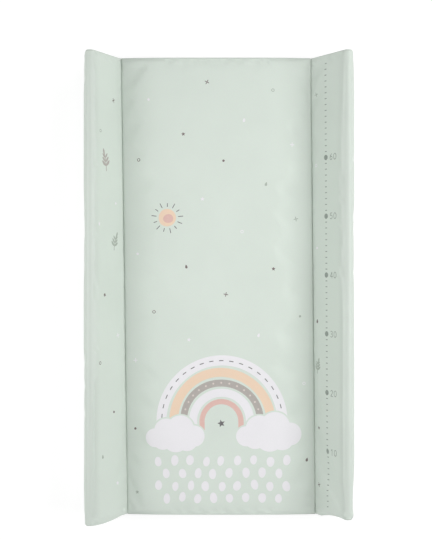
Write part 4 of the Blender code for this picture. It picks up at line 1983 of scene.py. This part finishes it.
@dataclass(frozen=True)
class WeldFlange:
    """The pressed ribs on the flange, where the films are welded together all round.

    Attributes:
        inset: Distance of the ribs' line from the flange's edge.
        half_long: Half the length of the runs on the long sides.
        half_wide: Half the length of those at the ends.
    """

    form: MatForm
    pitch: float = 0.0016
    rib: tuple[float, float, float] = (0.0019, 0.0007, 0.0003)
    inset: float = 0.0013
    half_long: float = 0.388
    half_wide: float = 0.216

    def build(self) -> list[Item]:
        """Make the ribs of the four sides.

        Returns:
            The ribs.
        """
        form, long, wide = self.form, self.half_long, self.half_wide
        x, y = (size / 2 + form.flange - self.inset for size in (form.width, form.length))
        ends = ((x, -long), (x, long), (-x, long), (-x, -long), (-wide, y), (wide, y), (wide, -y), (-wide, -y))
        places = [(*end, form.flange_z) for end in ends]
        line = mesh_object("flange_path", places, edges=[(k, k + 1) for k in range(0, len(ends), 2)])
        values = {"Pitch": self.pitch, "Rib Size": self.rib, "Material": WELD_FINISH.material()}
        return [declare(run_tree(line, self.rib_tree(), values, "weld_ribs"), "printed_vinyl")]

    def rib_tree(self) -> Tree:
        """Build the tree that sets ribs along a path.

        Returns:
            The tree.
        """
        sockets = [("Pitch", "Float", self.pitch), ("Rib Size", "Vector", self.rib), ("Material", "Material", None)]
        tree, group = new_tree("weld_ribs", sockets)
        path = add_node(tree, "MeshToCurve", {"Mesh": group["Geometry"]})
        spots = add_node(tree, "CurveToPoints", {"Curve": path, "Length": group["Pitch"]}, mode="LENGTH")
        rib = add_node(tree, "MeshCube", {"Size": group["Rib Size"]})
        along = {"Vector": spots.outputs["Tangent"]}
        turn = add_node(tree, "FunctionNodeAlignRotationToVector", along, axis="Y", pivot_axis="Z")
        placed = {"Points": spots.outputs["Points"], "Instance": rib, "Rotation": turn}
        end_tree(tree, add_node(tree, "InstanceOnPoints", placed), group["Material"])
        return tree


# Where the stops and the vents sit
STOP_PLACES = [(side * 0.140, end * 0.2815) for end in (1, -1) for side in (-1, 1)]
VENT_PLACES = [(0.0, end * 0.180) for end in (1, -1)]


@dataclass(frozen=True)
class FoamInside:
    """The foam blocks under the films, cut to the same form.

    Attributes:
        rebate: Width and height, over the floor, of the room that a bolster leaves for the valley tie.
        pocket: Their height, and how far they reach into the foam.
    """

    form: MatForm
    step: float = 0.010
    row_step: float = 0.012
    rebate: Point = (0.0105, 0.0011)
    pocket_radius: float = 0.011
    pocket: Point = (0.0067, 0.0027)
    sharp: float = 40.0

    def build(self) -> list[Item]:
        """Make the three blocks.

        Returns:
            The blocks.
        """
        form, depth = self.form, self.form.film + self.form.gap
        shares, half_long = Stations.even(self.step), form.panel_y - depth
        face = FormedFace(form, shares, self.row_step, depth, square_half=half_long, foam=True, with_puff=False)
        half, columns = len(face.half_marks(1, 0.0)) - 1, face.places.shape[1]
        pad, tail = len(shares.pad), len(shares.foot) + len(shares.flange)
        toe = half + pad + len(shares.land)
        item = self.block("foam_pad_block", face.places[:, half - pad + 1 : half + pad], 0)
        self.cut_pockets(item)
        right = self.block("bolster_foam_right", face.places[:, toe : columns - tail], 1)
        left = self.block("bolster_foam_left", face.places[:, tail : columns - toe][:, ::-1], -1)
        nodes = ("foam_pad", "bolster_core_right", "bolster_core_left")
        for block, node in zip((item, right, left), nodes):
            declare(block, "foam", node)
        return [item, right, left]

    def block(self, name: str, rows: Array, side: int) -> Item:
        """Close one block under its formed face.

        Args:
            name: The block's name.
            rows: Its formed face.
            side: The side of a bolster, whose foot clears the valley tie, or 0.

        Returns:
            The block.
        """
        form, floor = self.form, self.form.foam_z
        rings = []
        for row in rows:
            start, y = row[0, :2]
            if side:
                wall, foot = side * (form.width / 2 - form.film - form.gap), side * (abs(start) + self.rebate[0])
                low = floor + self.rebate[1]
                under = [(wall, y, floor), (foot, y, floor), (foot, y, low), (start, y, low)]
            else:
                under = [(x, y, floor) for x in np.linspace(row[-1, 0], start, 9)]
            rings.append([*row, *under])
        solid = np.array(rings)
        count, sides = solid.shape[:2]
        index = np.arange(count * sides).reshape(count, sides)
        caps = [index[0].tolist(), index[-1, ::-1].tolist()]
        item = mesh_object(name, solid.reshape(-1, 3), tube_faces(count, sides).tolist() + caps)
        item.data.materials.append(FOAM_FINISH.material())
        smooth_solid(item.data, self.sharp)
        return item

    def cut_pockets(self, item: Item) -> None:
        """Cut the pockets over the insert nuts into the pad block.

        Args:
            item: The block.
        """
        work, (high, reach) = bmesh.new(), self.pocket
        size = {"radius1": self.pocket_radius, "radius2": self.pocket_radius, "depth": high}
        for x, y in STOP_PLACES:
            made = bmesh.ops.create_cone(work, cap_ends=True, segments=40, **size)
            bmesh.ops.translate(work, verts=made["verts"], vec=(x, y, self.form.foam_z + reach - high / 2))
        cutter = mesh_object("pocket_cutter", [])
        work.to_mesh(cutter.data)
        work.free()
        modifier = item.modifiers.new("pockets", "BOOLEAN")
        modifier.operation, modifier.solver, modifier.object = "DIFFERENCE", "EXACT", cutter
        graph, old = bpy.context.evaluated_depsgraph_get(), item.data
        cut = bpy.data.meshes.new_from_object(item.evaluated_get(graph), depsgraph=graph)
        item.modifiers.remove(modifier)
        item.data = cut
        bpy.data.meshes.remove(old)
        drop(cutter)


@dataclass(frozen=True)
class ValleyTie:
    """The strip of film that holds the top film down along one valley line.

    Attributes:
        foot: Width of its foot on the board.
        bend: Radius over the foot.
    """

    form: MatForm
    side: int
    thickness: float = 0.0008
    foot: float = 0.010
    bend: float = 0.0015
    half_length: float = 0.3876
    rows: int = 60

    def build(self) -> list[Item]:
        """Make the strip.

        Returns:
            The strip.
        """
        form, bend = self.form, self.bend
        foot_z = form.foam_z + self.thickness
        turns = math.pi / 2 * np.arange(1, 5) / 5
        top_z = form.valley_z - form.film - form.gap - form.weld_dip
        profile = [(x, foot_z) for x in (self.foot, self.foot / 2, bend)]
        profile += [(bend - bend * math.sin(turn), foot_z + bend - bend * math.cos(turn)) for turn in turns]
        profile += [(0.0, z) for z in np.linspace(foot_z + bend, top_z, 6)]
        out, up = np.array(profile).T
        lengths = np.concatenate([[0], np.cumsum(np.hypot(np.diff(out), np.diff(up)))])
        y = np.linspace(-self.half_length, self.half_length, self.rows)[:, None]
        x = self.side * (form.valley_at(self.side, y) + out - self.thickness / 2)
        points = np.stack(np.broadcast_arrays(x, y, up), axis=2)
        flat = np.stack(np.broadcast_arrays(lengths, y), axis=2).reshape(-1, 2)
        quads, normals = grid_faces(*points.shape[:2]), grid_normals(points).reshape(-1, 3)
        triangles = np.concatenate([quads[:, [0, 1, 2]], quads[:, [0, 2, 3]]])
        if normals[0, 2] < 0:
            normals, triangles = -normals, triangles[:, ::-1]
        name, dress = SIDE_LABELS[self.side], [PLAIN_FILM.material()]
        parts = (points.reshape(-1, 3), normals, triangles, self.thickness, flat, dress)
        film = declare(shell_mesh(f"valley_strip_{name}", *parts), "plain_vinyl", f"valley_tie_{name}")
        return [film]


@dataclass(frozen=True)
class UndersideFilm:
    """The plain film under the board, with its holes for screws and vents.

    Attributes:
        clear: Least distance of an inner point from an edge.
        wave_length: Their least and greatest length.
        wave_edge: Where they start from the edge, and over what distance.
    """

    form: MatForm
    screw_hole: float = 0.0028
    vent_hole: float = 0.0034
    hole_sides: int = 24
    step: float = 0.009
    clear: float = 0.002
    waves: int = 6
    wave_height: float = 0.00004
    wave_length: Point = (0.05, 0.16)
    wave_edge: Point = (0.004, 0.010)
    seed: int = 5

    @property
    def half(self) -> Array:
        """Half its width and length."""
        return np.array((self.form.width, self.form.length)) / 2 + self.form.flange

    @property
    def corner(self) -> float:
        """Radius of its corners."""
        return self.form.end_radius + self.form.flange

    def build(self) -> list[Item]:
        """Make the film.

        Returns:
            The film.
        """
        holes = [(place, self.screw_hole) for place in STOP_PLACES] + [(place, self.vent_hole) for place in VENT_PLACES]
        turns = [2 * math.pi * k / self.hole_sides for k in range(self.hole_sides)]
        outlines = [self.outline(), *([polar(place, radius, turn) for turn in turns] for place, radius in holes)]
        xs, ys = (np.arange(-half + self.step / 2, half, self.step) for half in self.half)
        spots = [(x, y) for x in xs for y in ys if self.room(x, y) > self.clear]
        spots = [spot for spot in spots if all(math.dist(spot, p) > r + self.clear for p, r in holes)]
        points = [point for outline in outlines for point in outline] + spots
        flat, triangles, sources = triangulated(points, numbered(outlines))
        triangles = triangles[[source == [0] for source in sources]]
        up = face_normals(np.pad(flat, ((0, 0), (0, 1))), triangles)[:, 2] > 0
        triangles[up] = triangles[up, ::-1]
        places = np.column_stack([flat, self.form.base_z + self.wave(flat)])
        normals, dress = np.tile((0.0, 0.0, -1.0), (len(flat), 1)), [PLAIN_FILM.material()]
        film = shell_mesh("underside_film", places, normals, triangles, self.form.film, flat, dress)
        declare(film, "plain_vinyl", "bottom_cover")
        return [film]

    def outline(self) -> Points:
        """Give the film's outline with rounded corners.

        Returns:
            The outline.
        """
        inner, points = self.half - self.corner, []
        for quarter, way in enumerate(((1, 1), (-1, 1), (-1, -1), (1, -1))):
            points += [polar(inner * way, self.corner, math.pi / 2 * (quarter + k / 8)) for k in range(9)]
        dense: Points = []
        for here, after in zip(points, points[1:] + points[:1]):
            count = max(int(math.dist(here, after) / self.step), 1)
            dense += [tuple(np.add(here, np.subtract(after, here) * k / count)) for k in range(count)]
        return dense

    def room(self, x: float, y: float) -> float:
        """Give the distance of a point inside the outline from its edge, below 0 outside."""
        over = np.abs((x, y)) - (self.half - self.corner)
        return self.corner - math.hypot(*np.maximum(over, 0)) - min(over.max(), 0)

    def wave(self, flat: Array) -> Array:
        """Give a stretched film's faint waves, level at its edge, at flat places.

        Args:
            flat: The places.

        Returns:
            The waves' heights.
        """
        random, lift = np.random.default_rng(self.seed), np.zeros(len(flat))
        for _ in range(self.waves):
            angle, length = random.uniform(0, math.pi), random.uniform(*self.wave_length)
            run = flat[:, 0] * math.cos(angle) + flat[:, 1] * math.sin(angle)
            lift += np.sin(run * 2 * math.pi / length + random.uniform(0, 2 * math.pi))
        edge = (self.half - np.abs(flat)).min(axis=1)
        return self.wave_height * lift * np.clip((edge - self.wave_edge[0]) / self.wave_edge[1], 0, 1)


def turned_mesh(name: str, profile: Points, sides: int, sharp: float = 30.0) -> Mesh:
    """Turn a closed profile of (radius, height) about the vertical axis.

    Args:
        name: The mesh's name.
        profile: The profile.
        sides: How many sides the piece has.
        sharp: Edges steeper than this many degrees stay sharp.

    Returns:
        The mesh.
    """
    turns = 2 * np.pi * np.arange(sides) / sides
    radius, height = np.array(profile).T[:, :, None]
    points = np.stack(np.broadcast_arrays(radius * np.cos(turns), radius * np.sin(turns), height), axis=2)
    mesh = bpy.data.meshes.new(name)
    mesh.from_pydata(points.reshape(-1, 3).tolist(), [], tube_faces(len(profile), sides, closed=True).tolist())
    return smooth_solid(mesh, sharp)


def rounded(corners: Sequence[tuple[float, float, float]], steps: int) -> Points:
    """Round the corners of a closed profile.

    Args:
        corners: Radius and height of each corner, and the radius that rounds it.
        steps: Points on each rounded corner.

    Returns:
        The finer profile.
    """
    points: Points = []
    for k, (*corner, radius) in enumerate(corners):
        if radius <= 0:
            points.append(tuple(corner))
            continue
        here = np.array(corner)
        back, ahead = unit_rows(np.array([corners[k - 1][:2], corners[(k + 1) % len(corners)][:2]]) - here)
        half = math.acos(float(np.clip(back @ ahead, -1, 1))) / 2
        middle = here + unit_rows(back + ahead) * radius / math.sin(half)
        start, stop = (here + way * radius / math.tan(half) - middle for way in (back, ahead))
        ways = (start * (1 - share) + stop * share for share in np.linspace(0, 1, steps + 1))
        points += [tuple(middle + unit_rows(way) * radius) for way in ways]
    return points


def copies_tree() -> Tree:
    """Build the tree that sets a copy of a piece on each point.

    Returns:
        The tree.
    """
    tree, group = new_tree("copies_on_points", [("Piece", "Object", None), ("Material", "Material", None)])
    piece = add_node(tree, "ObjectInfo", {"Object": group["Piece"]}).outputs["Geometry"]
    placed = {"Points": group["Geometry"], "Instance": piece}
    end_tree(tree, add_node(tree, "InstanceOnPoints", placed), group["Material"])
    return tree


def copies_at(name: str, mesh: Mesh, places: Sequence[Point], finish: Finish, node: str) -> Item:
    """Set copies of a turned piece at several places, as one object that stands for as many CAD nodes.

    Args:
        name: The object's name.
        mesh: The piece about the vertical axis, at its real height.
        places: Where the copies stand.
        finish: Their finish.
        node: The name of the CAD nodes, before their numbers.

    Returns:
        The object.
    """
    piece, spots = link_object(f"{name}_piece", mesh), mesh_object("spots", [(x, y, 0.0) for x, y in places])
    item = run_tree(spots, copies_tree(), {"Piece": piece, "Material": finish.material()}, name)
    drop(piece)
    return declare(item, finish.slot, *(f"{node}_{number}" for number in range(1, len(places) + 1)))


@dataclass(frozen=True)
class CotStop:
    """A moulded rubber stop with a counterbore and tread rings on its foot.

    Attributes:
        bore_z: Level of the washer's seat.
        treads: Radii of the tread grooves.
        groove: Width and depth of a groove.
    """

    top_z: float = 0.0147
    foot_radius: float = 0.0145
    top_radius: float = 0.016
    bore_radius: float = 0.0062
    bore_z: float = 0.0067
    passage_radius: float = 0.0028
    treads: Point = (0.0125, 0.0103)
    groove: Point = (0.0009, 0.0006)
    edge: float = 0.00015
    sides: int = 72

    def build(self) -> list[Item]:
        """Make the four stops.

        Returns:
            The stops.
        """
        # Radius, height and rounding of each corner
        corners = [
            (self.passage_radius, self.bore_z, 0.0),
            (self.passage_radius, self.top_z, 0.0002),
            (self.top_radius, self.top_z, 0.0006),
            (self.top_radius - 0.0002, self.top_z - 0.0016, 0.0),
            (self.foot_radius, 0.0, 0.0014),
        ]
        wide, deep = self.groove
        for middle in self.treads:
            section = ((0.5, 0.0), (0.3, deep), (-0.3, deep), (-0.5, 0.0))
            corners += [(middle + wide * share, height, self.edge) for share, height in section]
        corners += [
            (self.bore_radius + 0.0008, 0.0, 0.0002),
            (self.bore_radius, 0.0009, 0.0002),
            (self.bore_radius, self.bore_z, 0.0003),
        ]
        mesh = turned_mesh("cot_stop", rounded(corners, 3), self.sides)
        return [copies_at("cot_stops_rubber", mesh, STOP_PLACES, RUBBER_FINISH, "cot_stop")]


@dataclass(frozen=True)
class Eyelet:
    """A rolled vent eyelet through the underside film.

    Attributes:
        film_z: Level of the film's outer face.
    """

    bore: float = 0.0025
    barrel: float = 0.0031
    flange: float = 0.0050
    low: float = 0.0142
    film_z: float = 0.0150
    top: float = 0.0164
    sides: int = 64

    def build(self) -> list[Item]:
        """Make the two eyelets.

        Returns:
            The eyelets.
        """
        # Radius, height and rounding of each corner
        corners = [
            (self.bore, self.top, 0.0001),
            (self.barrel, self.top, 0.0001),
            (self.barrel, self.film_z - 0.0003, 0.0),
            (self.flange, self.film_z - 0.0003, 0.0001),
            (self.flange, self.film_z - 0.0006, 0.0001),
            (self.flange - 0.0009, self.low, 0.0004),
            (self.bore + 0.0008, self.low, 0.0004),
            (self.bore, self.low + 0.0007, 0.0003),
        ]
        mesh = turned_mesh("vent_eyelet", rounded(corners, 4), self.sides)
        return [copies_at("vent_eyelets_rolled", mesh, VENT_PLACES, NICKEL_FINISH, "vent_eyelet")]


@dataclass(frozen=True)
class KeptNodes:
    """The CAD nodes that stay in view.

    Attributes:
        fasteners: Nodes of which each stop has one.
    """

    fasteners: tuple[str, ...] = ("stop_screw", "stop_washer", "insert_nut")

    def build(self) -> list[Item]:
        """Give the nodes their finishes.

        Returns:
            The nodes' objects.
        """
        stops = range(1, len(STOP_PLACES) + 1)
        finishes = {f"{name}_{number}": ZINC_FINISH for name in self.fasteners for number in stops}
        items = []
        for name, finish in {"base_board": BOARD_FINISH, **finishes}.items():
            items.append(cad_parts[name])
            items[-1].data.materials.clear()
            items[-1].data.materials.append(finish.material())
        return items


# Studio


@dataclass(frozen=True)
class Studio:
    """A white floor, a ring of softboxes and the photograph's camera.

    Attributes:
        boxes: Their azimuths from the head end towards the right, elevations, and powers in watts.
        lens: Focal length in millimetres, on a 36 mm sensor.
        floor_tone: Reflected light of the floor, and of the part that keeps the shadow.
        glow_reach: Distances between which the floor's glow rises.
        glow: Its levels at those.
        under: Half the width and length of the lit place under the mat.
    """

    world_level: float = 0.11
    box_size: float = 1.3
    box_distance: float = 2.3
    boxes: tuple[tuple[float, float, float], ...] = (
        (90.0, 22.0, 7.9),
        (90.0, 45.0, 19.7),
        (-90.0, 22.0, 12.0),
        (-90.0, 45.0, 15.7),
        (45.0, 40.0, 11.4),
        (180.0, 22.0, 6.0),
        (0.0, 89.0, 5.6),
    )
    camera_place: tuple[float, float, float] = (-0.0050, 0.0280, 1.730)
    lens: float = 65.15
    floor_half: float = 14.0
    floor_z: float = -0.0002
    floor_tone: Point = (0.8, 0.34)
    glow_reach: Point = (0.8, 3.2)
    glow: Point = (0.76, 1.0)
    under: Point = (0.19, 0.36)
    under_edge: float = 0.02
    under_glow: float = 0.85

    def build(self) -> None:
        """Make floor, lights, world and camera."""
        world = bpy.data.worlds.new("surround")
        bpy.context.scene.world = world
        world.use_nodes = True
        world.node_tree.nodes.clear()
        self.surround(world.node_tree)
        material = bpy.data.materials.new("studio_floor")
        material.use_nodes = True
        material.cycles.emission_sampling = "NONE"
        material.node_tree.nodes.clear()
        self.floor_look(material.node_tree)
        far, low = self.floor_half, self.floor_z
        corners = [(-far, -far, low), (far, -far, low), (far, far, low), (-far, far, low)]
        floor = mesh_object("studio_floor", corners, [(0, 1, 2, 3)])
        floor.data.materials.append(material)
        for number, (azimuth, elevation, power) in enumerate(self.boxes, 1):
            self.softbox(f"softbox_{number}", math.radians(azimuth), math.radians(elevation), power)
        self.camera()

    def surround(self, tree: Tree) -> None:
        """Make an even surround that looks white and lights the object at its own level.

        Args:
            tree: The world's node tree.
        """
        level = ranged(tree, self.seen(tree), (self.world_level, 1.0))
        light = add_node(tree, "Background", {"Color": (1, 1, 1, 1), "Strength": level})
        add_node(tree, "OutputWorld", {"Surface": light})

    @staticmethod
    def seen(tree: Tree) -> Node:
        """Tell camera, glossy and transmission rays (1), which show the background, from the others (0).

        Args:
            tree: A node tree.

        Returns:
            The node.
        """
        path = add_node(tree, "LightPath").outputs
        near = {0: path["Is Camera Ray"], 1: path["Is Glossy Ray"]}
        first = add_node(tree, "Math", near, operation="MAXIMUM")
        return add_node(tree, "Math", {0: first, 1: path["Is Transmission Ray"]}, operation="MAXIMUM")

    def floor_look(self, tree: Tree) -> None:
        """Make a floor that looks white, keeps a faint shadow and is clear from below.

        Args:
            tree: Its material's node tree.
        """
        paint, shadow = (add_node(tree, "BsdfDiffuse", {"Color": (tone, tone, tone, 1)}) for tone in self.floor_tone)
        # Far from the lamps the floor glows more, so that it stays white to its rim
        spot = Coords.OBJECT.place(tree)
        away = add_node(tree, "VectorMath", {0: spot}, operation="LENGTH")
        glow = {"Color": (1, 1, 1, 1), "Strength": ranged(tree, away, self.glow, self.glow_reach)}
        white = add_node(tree, "AddShader", {0: shadow, 1: add_node(tree, "Emission", glow)})
        top = add_node(tree, "MixShader", {0: self.seen(tree), 1: paint, 2: white})
        # Under the mat it gives diffuse light, so that a view from below shows the underside's colours
        past = add_node(tree, "VectorMath", {0: spot}, operation="ABSOLUTE")
        for operation, other in (("SUBTRACT", (*self.under, 0.0)), ("MAXIMUM", (0.0, 0.0, 0.0))):
            past = add_node(tree, "VectorMath", {0: past, 1: other}, operation=operation)
        away = add_node(tree, "VectorMath", {0: past}, operation="LENGTH")
        below = {0: ranged(tree, away, (1.0, 0.0), (0.0, self.under_edge))}
        below[1] = add_node(tree, "LightPath").outputs["Is Diffuse Ray"]
        glow = {"Color": (1, 1, 1, 1), "Strength": self.under_glow}
        lit = {0: add_node(tree, "Math", below, operation="MULTIPLY"), 1: top, 2: add_node(tree, "Emission", glow)}
        sides = {0: add_node(tree, "NewGeometry").outputs["Backfacing"], 1: add_node(tree, "MixShader", lit)}
        sides[2] = add_node(tree, "BsdfTransparent")
        add_node(tree, "OutputMaterial", {"Surface": add_node(tree, "MixShader", sides)})

    def softbox(self, name: str, azimuth: float, elevation: float, power: float) -> None:
        """Hang one softbox, turned to the mat.

        Args:
            name: Its name.
            azimuth: Its direction from the head end towards the right.
            elevation: Its height angle.
            power: Its power in watts.
        """
        flat = math.cos(elevation)
        way = Vector((flat * math.sin(azimuth), flat * math.cos(azimuth), math.sin(elevation)))
        light = bpy.data.lights.new(name, "AREA")
        light.shape, light.size, light.energy = "SQUARE", self.box_size, power
        item = bpy.data.objects.new(name, light)
        item.location = way * self.box_distance
        item.rotation_euler = (-way).to_track_quat("-Z", "Y").to_euler()
        item.visible_camera = False
        bpy.context.scene.collection.objects.link(item)

    def camera(self) -> None:
        """Make the photograph's camera, which looks straight down."""
        lens = bpy.data.cameras.new("camera")
        lens.lens, lens.sensor_width = self.lens, 36.0
        lens.clip_start, lens.clip_end = 0.05, 60.0
        item = bpy.data.objects.new("camera", lens)
        item.location = self.camera_place
        bpy.context.scene.collection.objects.link(item)
        bpy.context.scene.camera = item


def main() -> None:
    """Build the mat in its studio and log the face count of each piece."""
    logging.basicConfig(level=logging.INFO, format="%(name)s: %(message)s")
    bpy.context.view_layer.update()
    bpy.context.scene.view_settings.view_transform = "Standard"
    Studio().build()
    form = MatForm()
    parts = [FoamInside(form), TopCover(form, FilmFitter(form).settle())]
    parts += [kind(form, end) for end in END_LABELS for kind in (EndFilm, EndSeam)]
    parts += [ValleyTie(form, side) for side in (-1, 1)]
    parts += [WeldFlange(form), UndersideFilm(form), CotStop(), Eyelet(), KeptNodes()]
    for part in parts:
        for item in part.build():
            LOG.info("%s: %s, %d faces", type(part).__name__, item.name, len(item.data.polygons))


if __name__ == "__main__":
    main()
